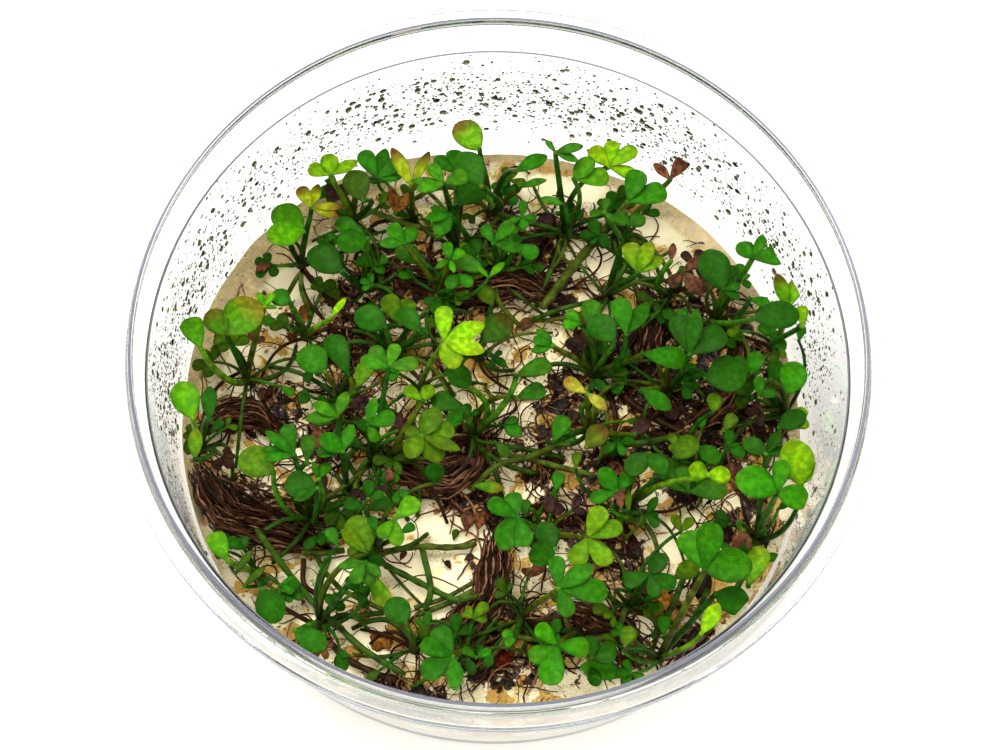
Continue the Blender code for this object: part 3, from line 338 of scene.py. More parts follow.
# how the plants stand: solid colour and crown x, y of each, then its fronds: hub x, y, height, tone and
# leaflets (azimuth, length, width)
shoots = [
    ("yellow", -30.0, 20.2, [
        (-29.3, 29.4, 24, "yellowTip", [(130, 3.5, 2.3), (80, 4.1, 1.8), (3, 4.8, 1.4), (-18, 4.3, 1.6)]),
        (-30.2, 25.4, 20, "limeGreen", [(143, 6.0, 4.5), (200, 5.6, 4.2)])]),
    ("green", -23.0, 27.6, [
        (-27.0, 35.0, 25, "limeBright", [(168, 3.4, 2.4), (92, 3.2, 2.8), (35, 4.6, 2.0)]),
        (-20.0, 35.0, 24, "mid", [(122, 4.6, 2.8), (80, 5.2, 2.3), (36, 4.8, 2.8), (4, 3.6, 1.8)]),
        (-21.8, 31.2, 21, "darkOlive", [(118, 5.2, 4.2)]),
        (-26.4, 30.6, 18, "dead", [(100, 3.2, 1.6), (50, 3.6, 2.2)])]),
    ("dark", -20.6, 17.0, [
        (-20.6, 25.0, 22, "mid", [(152, 5.4, 3.0), (205, 4.8, 4.0)]),
        (-24.0, 19.4, 20, "dark", [(150, 6.0, 5.0)]),
        (-19.3, 17.6, 17, "mid", [(105, 1.9, 1.1), (165, 1.9, 1.1), (215, 1.7, 1.0)])]),
    ("green", -28.2, 8.8, [
        (-31.0, 13.8, 21, "mid", [(150, 3.2, 2.8)]),
        (-25.0, 11.8, 18, "lime", [(62, 4.2, 1.2)])]),
    ("olive", -36.2, 1.4, [
        (-39.8, 8.2, 24, "oliveTip", [(128, 4.4, 4.0), (52, 6.8, 6.0)]),
        (-34.8, 13.0, 21, "limeGreen", [(118, 2.5, 1.1), (58, 2.4, 1.2), (178, 2.3, 1.0), (0, 1.9, 0.8)]),
        (-43.3, 5.8, 26, "limeGreen", [(118, 5.2, 3.6)])]),
    ("lime", -41.6, -9.6, [
        (-43.4, -5.0, 29, "limeGreen", [(112, 5.6, 4.3)]),
        (-40.9, -5.2, 25, "dark", [(95, 5.4, 2.4)]),
        (-42.3, -11.3, 23, "yellowLime", [(95, 4.8, 2.2)])]),
    ("green", -22.4, -0.6, [
        (-25.0, 3.4, 20, "mid", [(140, 5.2, 4.8)]),
        (-21.6, 3.2, 16, "dark", [(118, 7.0, 3.8)]),
        (-20.2, 1.2, 19, "oliveLime", [(76, 4.3, 2.7)])]),
    ("green", -25.0, -18.8, [
        (-28.3, -9.6, 25, "mid", [(108, 4.6, 2.4), (146, 5.2, 1.9), (172, 4.8, 1.7), (196, 4.4, 1.6)]),
        (-26.4, -10.6, 20, "grey", [(92, 4.3, 2.4)]),
        (-31.0, -12.4, 20, "olive", [(150, 5.6, 5.0)]),
        (-24.5, -13.0, 22, "mid", [(112, 2.6, 1.1), (62, 2.9, 1.6)]),
        (-24.6, -14.4, 17, "dark", [(178, 4.6, 4.4), (218, 3.8, 1.9)])]),
    ("green", -20.2, -14.5, [
        (-21.4, -8.6, 24, "mid", [(152, 3.9, 3.0), (187, 3.7, 2.0), (76, 4.4, 2.0)]),
        (-22.6, -3.4, 20, "pale", [(76, 4.2, 2.1), (160, 4.1, 2.0), (190, 4.6, 2.2)])]),
    ("green", -17.2, -8.6, [
        (-18.2, -4.2, 21, "bright", [(12, 4.2, 2.7), (-60, 2.9, 1.8), (80, 4.4, 1.8)]),
        (-15.9, 4.8, 23, "pale", [(134, 3.9, 2.4), (172, 4.2, 2.4), (76, 3.6, 2.1), (12, 4.3, 2.5)])]),
    ("dark", -15.6, 7.2, [
        (-16.8, 11.0, 18, "dark", [(152, 5.0, 4.8)]),
        (-11.6, 10.4, 19, "dark", [(128, 5.2, 3.6)]),
        (-14.8, 11.6, 15, "olive", [(116, 4.8, 3.2), (70, 4.4, 2.8)])]),
    ("lime", -11.2, 1.6, [
        (-8.2, 9.4, 27, "limeBright", [(92, 5.2, 2.8), (32, 6.6, 3.0), (-15, 6.2, 3.0), (-62, 4.6, 3.4)])]),
    ("olive", -14.4, -8.6, [
        (-10.3, -5.4, 23, "olive", [(162, 2.6, 2.1), (62, 4.6, 3.4), (18, 4.8, 3.0), (246, 4.2, 3.0),
                           (310, 4.6, 3.6), (338, 6.2, 2.2)]),
        (-10.6, 0.0, 20, "oliveLime", [(150, 3.2, 2.0), (62, 2.8, 2.1)])]),
    ("green", -3.0, -4.6, [
        (-4.6, -0.8, 19, "dark", [(165, 4.8, 3.2), (238, 3.6, 2.4)]),
        (-3.8, 2.4, 21, "dark", [(140, 4.4, 3.4)]),
        (2.6, 4.8, 23, "grey", [(24, 5.4, 2.9)]),
        (2.9, 1.4, 20, "grey", [(26, 4.4, 3.0)])]),
    ("olive", -3.0, 7.6, [
        (-2.2, 9.8, 19, "stripedDark", [(54, 5.6, 4.4)]),
        (-1.6, 15.8, 18, "olive", [(118, 3.2, 2.8)])]),
    ("dark", 13.8, 6.0, [
        (7.7, 9.9, 21, "mid", [(138, 3.4, 1.7), (165, 3.0, 1.6), (200, 3.2, 1.6)]),
        (11.6, 13.6, 20, "bright", [(142, 2.8, 2.0), (196, 2.8, 1.8)]),
        (12.6, 14.0, 23, "grey", [(80, 3.8, 3.2)]),
        (16.6, 11.2, 19, "dark", [(128, 5.2, 4.4)]),
        (18.3, 12.4, 23, "mid", [(106, 5.6, 3.2), (62, 6.2, 2.8)]),
        (20.8, 9.6, 20, "mid", [(-4, 6.6, 3.7)])]),
    ("yellow", -14.2, 28.6, [
        (-14.8, 34.0, 25, "yellowTip", [(122, 6.4, 2.3), (70, 6.4, 1.8)]),
        (-15.8, 29.4, 18, "orange", [(108, 3.8, 1.9), (62, 4.4, 2.0)])]),
    ("green", -2.6, 30.8, [
        (-5.0, 40.8, 27, "yellowGreenTip", [(134, 5.4, 4.6)]),
        (-4.4, 34.8, 21, "dark", [(122, 6.2, 4.6)]),
        (-1.4, 31.8, 18, "darkLime", [(125, 4.6, 2.0)]),
        (0.6, 37.6, 24, "mid", [(36, 5.6, 2.6)]),
        (1.4, 35.0, 20, "pale", [(20, 4.2, 1.4)])]),
    ("pale", -7.4, 24.8, [
        (-9.9, 34.7, 26, "pale", [(130, 3.6, 2.1), (28, 3.7, 2.6), (176, 4.9, 1.5), (202, 4.2, 2.0)]),
        (-8.2, 36.6, 22, "mid", [(150, 4.0, 2.2), (98, 4.0, 2.8)]),
        (-8.7, 29.7, 19, "mid", [(158, 3.2, 1.3), (200, 3.8, 1.9), (240, 3.7, 2.8)]),
        (-7.3, 31.6, 23, "dark", [(55, 5.2, 4.4)])]),
    ("green", -9.4, 17.0, [
        (-15.0, 24.6, 22, "mid", [(135, 3.6, 2.4), (186, 3.8, 1.9), (62, 3.0, 2.2)]),
        (-11.4, 21.2, 19, "grey", [(148, 5.6, 3.3)]),
        (-8.2, 22.4, 23, "bright", [(105, 2.7, 1.7), (40, 2.6, 1.7), (215, 2.4, 1.1), (290, 2.4, 1.0)]),
        (-2.8, 20.8, 20, "grey", [(158, 4.8, 3.0)]),
        (-6.6, 20.0, 18, "mid", [(225, 2.7, 2.1), (318, 2.7, 2.1)])]),
    ("green", -1.0, 21.6, [
        (-2.0, 25.6, 22, "mid", [(120, 3.2, 1.9), (45, 4.2, 2.2), (-8, 4.4, 2.0)]),
        (2.0, 30.0, 23, "mid", [(86, 2.6, 1.4), (4, 2.2, 1.3), (282, 2.2, 1.5), (202, 2.3, 1.1)]),
        (1.0, 25.4, 18, "mid", [(-18, 4.0, 2.8)])]),
    ("green", 8.4, 27.8, [
        (6.4, 41.2, 27, "grey", [(14, 4.2, 1.8), (-16, 3.6, 1.6), (128, 2.6, 0.9)]),
        (9.4, 37.0, 24, "limeGreen", [(52, 4.2, 3.0), (4, 5.2, 3.3)]),
        (8.2, 32.6, 21, "grey", [(166, 3.8, 1.5)]),
        (14.6, 39.4, 28, "limeBright", [(140, 4.0, 2.7), (88, 4.6, 2.5), (35, 4.9, 2.7), (-12, 5.0, 2.3)])]),
    ("green", 16.2, 28.0, [
        (23.8, 38.0, 25, "brown", [(140, 3.4, 1.7), (56, 4.4, 2.5)]),
        (17.6, 33.8, 22, "mid", [(68, 5.0, 3.4), (20, 6.0, 3.8)]),
        (14.2, 31.8, 21, "grey", [(86, 2.3, 1.5), (196, 2.3, 1.3), (320, 2.1, 1.3)])]),
    ("olive", 15.2, 18.4, [
        (18.0, 30.2, 23, "grey", [(152, 2.6, 2.4), (28, 2.6, 2.4)]),
        (19.6, 22.4, 21, "yellowLime", [(112, 4.8, 3.0), (68, 5.0, 2.6), (34, 4.4, 2.2)])]),
    ("brown", 24.4, 19.4, [
        (26.2, 23.0, 18, "brown", [(-46, 4.0, 2.7), (236, 3.0, 1.9), (34, 3.8, 1.9)]),
        (24.4, 24.6, 20, "brown", [(85, 3.0, 1.2)])]),
    ("dark", 31.2, 15.6, [
        (32.3, 20.6, 23, "dark", [(114, 6.4, 5.0), (58, 2.2, 1.1), (12, 2.6, 1.4), (-28, 2.8, 1.4)]),
        (36.5, 26.0, 25, "bright", [(132, 3.2, 2.8), (66, 4.2, 1.8), (8, 4.8, 3.2)]),
        (36.2, 19.4, 20, "mid", [(-12, 3.6, 1.7)]),
        (37.0, 16.4, 24, "dark", [(8, 6.4, 4.6)])]),
    ("lime", 43.0, 13.0, [
        (41.9, 18.4, 26, "limeTip", [(112, 5.2, 2.4), (74, 5.2, 2.4)]),
        (44.0, 15.6, 22, "lime", [(92, 3.3, 1.8)])]),
    ("green", 41.8, 1.8, [
        (42.2, 4.8, 25, "bright", [(74, 5.2, 4.2)]),
        (36.9, 7.8, 20, "mid", [(78, 3.4, 2.8)]),
        (39.7, 6.8, 17, "dark", [(66, 3.4, 2.8)]),
        (41.0, -0.5, 22, "dark", [(35, 4.5, 3.2)]),
        (43.0, 0.6, 18, "lime", [(45, 2.6, 1.8), (-10, 2.4, 1.8)])]),
    ("dark", 24.6, 4.0, [
        (27.7, 10.0, 22, "dark", [(112, 6.2, 3.4), (86, 6.6, 2.6), (38, 6.2, 4.2)]),
        (30.2, 6.4, 20, "dark", [(15, 6.0, 5.8)]),
        (20.9, 4.0, 19, "mid", [(-30, 5.2, 2.7)])]),
    ("yellow", 13.6, -3.0, [
        (13.0, 2.8, 22, "yellowOrange", [(156, 3.8, 2.1), (-40, 3.8, 1.8)]),
        (8.6, -5.0, 21, "mid", [(72, 4.4, 2.7)]),
        (13.4, -5.4, 19, "oliveBrown", [(52, 4.2, 3.4)]),
        (20.2, -3.0, 17, "dead", [(58, 3.2, 2.5)])]),
    ("green", 29.4, -7.8, [
        (26.0, -6.2, 20, "olive", [(48, 4.6, 3.5)]),
        (29.2, -4.4, 19, "mid", [(-28, 3.9, 2.8)]),
        (28.4, -11.2, 19, "grey", [(115, 3.9, 2.3), (150, 4.2, 2.6), (8, 5.4, 3.5)])]),
    ("green", 19.6, -13.8, [
        (31.0, -8.4, 26, "lime", [(175, 3.0, 2.6), (6, 3.2, 2.6)]),
        (22.4, -5.8, 21, "dark", [(228, 4.4, 3.5), (304, 4.2, 3.0)]),
        (18.0, -11.8, 20, "mid", [(130, 4.0, 3.0), (58, 3.6, 2.4), (204, 4.0, 2.1)]),
        (24.5, -9.4, 16, "dark", [(20, 4.0, 2.6)])]),
    ("green", 7.8, -19.4, [
        (14.2, -19.0, 25, "oliveLime", [(70, 4.8, 3.1), (24, 5.2, 2.8), (250, 4.4, 3.1), (310, 5.2, 3.1)]),
        (4.2, -16.8, 25, "mid", [(106, 4.0, 2.7), (155, 4.8, 2.7), (248, 5.2, 4.0), (288, 4.6, 2.9)]),
        (9.6, -21.0, 20, "dark", [(118, 4.4, 3.6), (212, 4.2, 3.6)])]),
    ("green", 5.6, -31.4, [
        (10.5, -26.8, 26, "mid", [(98, 4.8, 2.5), (36, 5.8, 2.9), (-2, 6.8, 3.6), (292, 4.6, 2.6)]),
        (4.8, -34.2, 17, "bright", [(165, 1.9, 1.5), (232, 1.9, 1.4)])]),
    ("green", 20.6, -28.6, [
        (23.2, -23.8, 23, "dark", [(54, 3.6, 2.7), (-20, 4.0, 2.6), (284, 3.6, 2.2), (202, 3.8, 2.6)]),
        (26.9, -24.0, 18, "olive", [(40, 4.0, 3.0)])]),
    ("green", 25.0, -35.8, [
        (31.0, -22.6, 27, "bright", [(118, 6.2, 3.8), (82, 6.6, 4.0), (8, 6.6, 5.0)]),
        (32.6, -26.0, 22, "mid", [(-18, 5.0, 4.2)]),
        (31.0, -32.2, 20, "lime", [(64, 5.0, 2.6)])]),
    ("green", 38.0, -17.6, [
        (41.0, -10.3, 26, "bright", [(164, 6.2, 5.0), (80, 4.6, 2.8), (-16, 4.6, 3.8)]),
        (39.2, -4.6, 20, "dark", [(150, 3.8, 2.8), (60, 3.8, 1.9), (14, 4.0, 2.0)]),
        (37.8, -25.0, 22, "yellowLime", [(74, 6.2, 3.4)]),
        (44.4, -9.0, 28, "limeBright", [(105, 6.5, 5.0), (60, 4.0, 2.0)]),
        (39.8, -20.4, 19, "mid", [(150, 3.4, 2.0), (10, 3.0, 1.4)]),
        (36.2, -16.4, 16, "brown", [(250, 3.4, 1.6), (290, 3.2, 1.4)])]),
    ("green", 13.2, -33.2, [
        (10.8, -35.0, 24, "bright", [(-4, 4.4, 3.0), (258, 6.0, 3.8), (212, 4.4, 2.9), (142, 4.0, 2.6)]),
        (15.6, -36.4, 19, "dark", [(20, 3.6, 3.2), (95, 3.0, 2.6)]),
        (20.5, -38.6, 20, "bright", [(172, 6.5, 3.2)])]),
    ("green", -2.0, -36.8, [
        (-3.6, -37.6, 23, "mid", [(122, 4.8, 3.2), (166, 4.8, 2.7), (216, 5.0, 3.4), (276, 5.0, 2.6)])]),
    ("lime", -15.4, -22.4, [
        (-13.2, -18.2, 24, "limeGreen", [(48, 4.4, 2.9), (236, 3.6, 2.1), (282, 4.0, 2.3)]),
        (-17.4, -17.0, 19, "dark", [(166, 3.2, 2.1), (24, 3.8, 2.4)])]),
    ("green", -22.4, -34.2, [
        (-16.8, -24.8, 22, "grey", [(194, 4.0, 1.5), (246, 3.8, 2.1), (288, 3.6, 1.9), (316, 3.2, 1.6)]),
        (-16.8, -23.4, 16, "olive", [(112, 5.6, 4.8), (145, 4.8, 2.2)]),
        (-25.8, -35.4, 21, "mid", [(-24, 5.0, 3.6)])]),
    ("green", -9.0, -36.8, [
        (-10.4, -33.4, 21, "dark", [(122, 4.4, 3.9)])]),
    ("green", -32.0, -27.4, [
        (-31.0, -29.8, 22, "mid", [(302, 5.2, 4.4)]),
        (-36.8, -26.4, 22, "limeGreen", [(125, 4.8, 3.4)])]),
]

# bundles of roots: stations (x, y, width, height)
rootMats = [
    [(-44.5, -13.5, 3.5, 2.2), (-41.5, -17.0, 6.0, 3.0), (-36.5, -19.0, 7.5, 3.2),
     (-31.0, -20.5, 6.5, 2.6), (-26.5, -22.0, 4.0, 1.8), (-22.5, -23.0, 1.6, 1.0)],
    [(-41.5, -6.5, 2.5, 1.4), (-38.5, -4.2, 4.5, 2.4), (-34.5, -3.8, 4.5, 2.4), (-31.5, -6.2, 2.2, 1.4)],
    [(-16.0, 20.0, 3.0, 1.6), (-10.5, 19.0, 6.0, 2.6), (-4.0, 19.5, 7.5, 3.2),
     (2.0, 20.0, 6.5, 3.0), (6.5, 18.0, 3.0, 1.6)],
    [(-15.5, -8.5, 3.0, 1.6), (-11.0, -11.0, 5.5, 2.6), (-6.0, -11.5, 6.5, 2.8),
     (-2.5, -9.0, 5.0, 2.2), (-1.5, -5.5, 2.4, 1.4)],
    [(20.5, 20.0, 2.5, 1.6), (21.8, 16.0, 4.5, 2.6), (21.0, 11.5, 4.8, 2.6), (19.0, 7.5, 2.8, 1.6)],
    [(30.0, -0.5, 3.0, 1.6), (33.5, 3.0, 4.5, 2.4), (35.0, 8.0, 4.0, 2.2), (34.5, 12.5, 2.4, 1.4)],
    [(1.5, -19.5, 3.0, 1.6), (1.2, -24.0, 4.8, 2.4), (0.8, -29.0, 4.5, 2.2), (-2.0, -33.5, 6.0, 2.8),
     (-4.5, -36.5, 3.0, 1.6)],
    [(12.0, -29.5, 2.6, 1.6), (15.5, -30.5, 5.0, 2.6), (19.5, -32.0, 4.5, 2.4), (22.5, -36.0, 4.0, 2.0)],
]

# creeping stems: skin, radius, stations (x, y, clearance above what lies below)
runners = [
    ("stem", 0.55, [(-24.2, -35.2, 0), (-20.8, -36.8, 0), (-18.6, -38.8, 0), (-14.5, -40.6, 0),
                    (-10.5, -41.8, 0)]),
    ("runner", 0.50, [(-32.6, -21.0, 0.4), (-29.0, -25.4, 0), (-23.4, -31.5, 0.6), (-19.6, -34.6, 0.8),
                      (-15.8, -37.6, 0.4), (-10.0, -40.6, 0.3)]),
    ("runner", 0.50, [(-15.6, -23.8, 0), (-10.4, -22.1, 0.4), (-4.4, -21.8, 0.2), (-1.4, -21.0, 0)]),
    ("runner", 0.50, [(-14.4, -24.9, 0), (-7.6, -27.9, 0.6), (-3.8, -29.4, 0.4), (-0.6, -28.6, 0)]),
    ("runner", 0.45, [(0.9, -7.4, 0), (5.0, -7.8, 0.6), (10.0, -8.8, 0.8), (14.5, -9.6, 0)]),
    ("stem", 0.50, [(18.0, 3.0, 0), (22.0, 0.2, 0), (26.0, -1.8, 0), (30.5, -3.9, 0), (33.5, -6.2, 0)]),
    ("runner", 0.70, [(15.6, 30.4, 0), (12.6, 26.4, 0.3), (9.4, 21.6, 0), (5.8, 15.6, 0)]),
]

# lesser fronds that are too small for the solids: hub x, y, height, tone, leaflets
smallFronds = [
    (-3.3, 20.0, 18, "limeGreen", [(50, 3.4, 1.2), (140, 2.2, 0.8)]),
    (30.0, 13.0, 17, "lime", [(155, 4.0, 1.6)]),
    (31.4, 1.3, 15, "olive", [(80, 3.0, 2.4)]),
    (33.0, -1.6, 15, "olive", [(60, 3.0, 2.0)]),
    (14.0, 0.0, 17, "limeGreen", [(100, 2.4, 1.4)]),
    (-0.4, -37.5, 16, "mid", [(150, 2.2, 1.3), (30, 2.2, 1.3)]),
    (20.2, -34.4, 17, "olive", [(80, 3.0, 2.6)]),
    (21.0, -35.0, 14, "brown", [(40, 2.4, 1.6)]),
    (5.2, -16.4, 15, "dark", [(90, 2.4, 1.6)]),
    (-17.2, -15.4, 15, "dark", [(90, 2.6, 1.8), (20, 2.2, 1.4)]),
    (-8.0, -12.4, 15, "dark", [(90, 3.0, 3.0)]),
    (-20.9, -22.8, 16, "mid", [(120, 3.0, 1.8)]),
    (-15.6, -20.4, 15, "dark", [(110, 2.6, 1.6)]),
    (-14.6, -21.2, 14, "lime", [(60, 2.0, 1.0)]),
    (27.4, -17.2, 16, "olive", [(120, 2.6, 1.5), (50, 2.6, 1.5)]),
    (20.6, -26.8, 16, "dark", [(100, 3.0, 2.0)]),
    (12.0, -8.6, 14, "olive", [(90, 2.2, 1.5)]),
    (18.8, -14.4, 14, "brown", [(100, 2.6, 1.6)]),
    (19.7, -15.6, 13, "olive", [(90, 4.4, 1.0)]),
    (-36.8, -28.4, 16, "darkOlive", [(60, 4.0, 1.2)]),
    (-35.0, -30.8, 16, "darkOlive", [(50, 4.0, 1.2)]),
    (38.0, 4.0, 16, "mid", [(90, 3.0, 1.8), (20, 2.6, 1.4)]),
    (42.6, 13.3, 20, "mid", [(80, 2.8, 1.6)]),
    (34.0, 22.0, 17, "dark", [(70, 2.8, 1.6), (150, 2.4, 1.4)]),
    (-15.8, -26.6, 15, "yellowLime", [(300, 5.0, 2.8)]),
]


def rootMatPaths(trees):
    found, placed = [], np.zeros((0, 4))
    for i, stations in enumerate(rootMats):
        rows = resample(stations, 4.0)
        path, radii = [], []
        for x, y, w, h in rows:
            spread = [onGround(x + dx, y + dy, 0.0, trees)[2]
                      for dx in (-w / 2, 0, w / 2) for dy in (-w / 2, 0, w / 2)]
            path.append(insideWall(seen(x, y, max(spread) + layout["gap"] + h / 2 + 0.15), w / 2 + 0.5))
            radii.append((w / 2, h / 2))
        dense = []
        for a, b, (w0, h0), (w1, h1) in zip(path, path[1:], radii, radii[1:]):
            along = b - a
            across = np.array([-along[1], along[0], 0.0]) / max(math.hypot(along[0], along[1]), 1e-6)
            for t in np.linspace(0, 1, 7):
                w, h = w0 + (w1 - w0) * t, h0 + (h1 - h0) * t
                for s in np.linspace(-1, 1, 9):
                    q = a + along * t + across * (s * max(w - h * 0.7, 0.0))
                    dense.append([q[0], q[1], q[2], h])
        placed = np.vstack([placed, np.array(dense)])
        trees.append(surfaceTree("root_mat_%02d" % (i + 1)))
        found.append((path, radii))
    return found, placed


def neighbourhoods(values):  # each value together with the two on either side of it
    return [values[max(0, j - 2):j + 3] for j in range(len(values))]


def runnerPaths(trees, placed):
    found = []
    for i, (skin, radius, points) in enumerate(runners):
        rows = resample(points, 1.6)
        heights = []
        for x, y, clear in rows:
            p = onGround(x, y, 0.0, trees)
            below = [groundHeight(p[0] + dx, p[1] + dy, trees)
                     for dx in (-0.9, 0, 0.9) for dy in (-0.9, 0, 0.9)]
            heights.append(max(below) + clear)
        tops = [max(near) for near in neighbourhoods(heights)]
        smooth = [sum(near) / len(near) for near in neighbourhoods(tops)]
        path = [insideWall(seen(x, y, max(z, h) + layout["gap"] + radius + 0.1), radius + 0.7)
                for (x, y, _), z, h in zip(rows, smooth, heights)]
        path = path[::2] + ([path[-1]] if len(path) % 2 == 0 else [])
        dense = []
        for a, b in zip(path, path[1:]):
            dense += ballsOn([a + (b - a) * t for t in np.linspace(0, 1, 6)], radius)
        placed = np.vstack([placed, np.array(dense)])
        trees.append(surfaceTree("runner_%02d" % (i + 1)))
        found.append((skin, radius, path))
    return found, placed


def frondPlaces(trees, placed):  # one list of (crown, fronds) in the order of the shoots
    found = []
    crownBall = layout["crownRadius"] + layout["crownMargin"]
    for _, cx, cy, fronds in shoots:
        base = onGround(cx, cy, layout["crownRadius"] + layout["gap"] + 0.1, trees)
        crown = base
        for lift in (0.0, 0.7, 1.4, 2.1, 2.8, 3.5, 4.2):
            trial = insideWall(seen(cx, cy, base[2] + lift), layout["crownRadius"] + 0.6)
            if clearance([trial], crownBall, placed) > layout["gap"]:
                crown = trial
                break
        own = ballsOn([crown], crownBall)
        spread = np.zeros((0, 4))
        grown = []
        for x, y, z, tone, leaves in fronds:
            hub, rise, sway, path, blades = placeFrond(crown, (x, y, z, leaves), np.vstack([placed, spread]))
            grown.append((hub, rise, sway, tone, leaves))
            mine = ballsOn(path, layout["petioleRadius"] + layout["sphereMargin"])
            mine = np.array(mine + ballsOn(blades, layout["bladeSphere"]))
            own += mine.tolist()
            away = np.linalg.norm(mine[:, :3] - crown, axis=1) > 2.6  # near the crown its own fronds may meet
            spread = np.vstack([spread, mine[away]])
        placed = np.vstack([placed, np.array(own)])
        found.append((crown, grown))
    return found, placed


groundTrees = [surfaceTree("agar_gel")]
matPaths, placedSpheres = rootMatPaths(groundTrees)
stemPaths, placedSpheres = runnerPaths(groundTrees, placedSpheres)
plants, placedSpheres = frondPlaces(groundTrees, placedSpheres)
gelTree = groundTrees[0]
print("plants placed:", sum(len(grown) for _, grown in plants), "fronds on", len(plants), "crowns")

# light, floor and camera

studio = {
    "worldTop": "#fffcf2", "worldSide": "#eceae4", "worldStrength": 1.03, "sideBelow": -0.1, "topAbove": 0.75,
    "topSize": 0.42, "topPlace": (-0.16, 0.20, 0.60), "topWatts": 3.6,
    "fillSize": 0.9, "fillPlace": (0.45, -0.30, 0.70), "fillWatts": 0.7,
    "floorColour": "#f4f4f4", "floorGlow": 0.32, "floorSize": 3.0, "floorRoughness": 0.9, "floorGloss": 0.1,
    "aimHeight": 44.0, "cameraDistance": 350.0, "elevation": 68.0, "roll": 3.84, "lens": 92.83,
    "sensorWidth": 36.0, "shiftY": -0.0317, "nearest": 0.01, "lightPaths": 32,
}


def buildStudio():
    world = bpy.data.worlds.new("softStudio")
    bpy.context.scene.world = world
    world.use_nodes = True
    tree = world.node_tree
    height = addNode(tree, "SeparateXYZ", {0: addNode(tree, "TexCoord")}, out=2)
    up = addNode(tree, "MapRange", {0: height, 1: studio["sideBelow"], 2: studio["topAbove"]}, **smoothStep)
    sky = {0: up, 6: hexColour(studio["worldSide"]), 7: hexColour(studio["worldTop"])}
    tree.links.new(addNode(tree, "Mix", sky, **mixed), tree.nodes["Background"].inputs["Color"])
    tree.nodes["Background"].inputs["Strength"].default_value = studio["worldStrength"]

    startModelling()
    bpy.ops.mesh.primitive_plane_add(size=studio["floorSize"], location=(0, 0, 0))
    floor = bpy.context.object
    floor.name = "floor"
    # paper lit from behind, as on a light table
    mat, _, _ = newMaterial("whitePaper", Base_Color=hexColour(studio["floorColour"]),
                            Roughness=studio["floorRoughness"], Specular_IOR_Level=studio["floorGloss"],
                            Emission_Color=hexColour("#ffffff"), Emission_Strength=studio["floorGlow"])
    floor.data.materials.append(mat)

    for name in ("top", "fill"):
        place = studio[name + "Place"]
        bpy.ops.object.light_add(type="AREA", location=place)
        light = bpy.context.object
        light.name = name + "Light"
        light.data.size = studio[name + "Size"]
        light.data.energy = studio[name + "Watts"]
        light.rotation_euler = (-Vector(place)).to_track_quat("-Z", "Y").to_euler()

    tilt, roll = math.radians(studio["elevation"]), math.radians(studio["roll"])
    back = Vector((0, -math.cos(tilt), math.sin(tilt)))
    right = Vector((1, 0, 0))
    up = back.cross(right)
    across = right * math.cos(roll) + up * math.sin(roll)
    upward = up * math.cos(roll) - right * math.sin(roll)
    turn = Matrix((across, upward, back)).transposed()
    spot = (Vector((0, 0, studio["aimHeight"])) + back * studio["cameraDistance"]) * mm
    bpy.ops.object.camera_add(location=spot, rotation=turn.to_euler())
    camera = bpy.context.object
    camera.data.lens = studio["lens"]
    camera.data.sensor_width = studio["sensorWidth"]
    camera.data.shift_y = studio["shiftY"]
    camera.data.clip_start = studio["nearest"]
    bpy.context.scene.camera = camera
    bpy.context.scene.view_settings.view_transform = "Standard"
    bpy.context.scene.cycles.max_bounces = studio["lightPaths"]  # light runs a long way inside a clear wall
    bpy.context.scene.cycles.transmission_bounces = studio["lightPaths"]
    print("studio ready")


buildStudio()

# cup: clear polystyrene, injection moulded, so glossy and nearly colourless, with grey and violet lines
# painted at its edges in place of the lines that refraction draws there

cup = {
    "steps": 160, "cornerSteps": 5, "cornerShare": 0.45,
    # from the floor up the inner side, over the rim and down the outside: radius, height, corner radius
    "corners": [(44.0, 1.0, 2.2), (45.45, 4.2, 3.0), (48.35, 37.1, 0.1), (48.53, 37.22, 0.02),
                (49.55, 37.9, 0.16), (49.85, 43.85, 0.12), (50.3, 44.0, 0.12), (50.6, 42.5, 0.2),
                (52.9, 41.8, 0.25), (52.9, 40.95, 0.02), (52.9, 40.0, 0.12), (52.5, 40.0, 0.12),
                (52.4, 41.3, 0.2), (50.7, 41.7, 0.3), (50.1, 37.4, 0.2), (48.9, 36.5, 0.3),
                (46.0, 3.8, 3.0), (44.8, 0.8, 2.0)],
    "floorInner": 1.0, "baseRadius": 42.6, "middle": 38.0,
    "slack": 0.42,  # how far the thin wall lies outside the solid's
    "tint": "#c4cbe0", "tintDensity": 9.0, "ior": 1.49, "roughness": 0.015, "mattRoughness": 0.4,
    # rings that the mould leaves matt, coloured as painted edge lines: name, colour, share that stays clear,
    # limits of radius and height
    "paintedEdgeLineRings": [("paintedEdgeLineParting", "#8082ab", 0.2, 52.7, 53.0, 40.97, 41.7),
                  ("paintedEdgeLineLip", "#6a6b84", 0.25, 50.0, 50.4, 43.88, 44.1),
                  ("paintedEdgeLineLedge", "#85888f", 0.3, 48.3, 48.53, 37.0, 37.25)],
}


def roundedProfile(corners, steps):
    out = []
    for i, (r, z, size) in enumerate(corners):
        here = np.array([r, z])
        before = np.array(corners[i - 1][:2]) if i else here - np.array([1.0, 0.0])
        after = np.array(corners[i + 1][:2]) if i + 1 < len(corners) else here - np.array([1.0, 0.0])
        inDistance, outDistance = np.linalg.norm(before - here), np.linalg.norm(after - here)
        a = here + (before - here) / inDistance * min(size, inDistance * cup["cornerShare"])
        b = here + (after - here) / outDistance * min(size, outDistance * cup["cornerShare"])
        for k in range(steps):
            t = k / (steps - 1)
            out.append(a * (1 - t) ** 2 + here * 2 * t * (1 - t) + b * t * t)
    return out


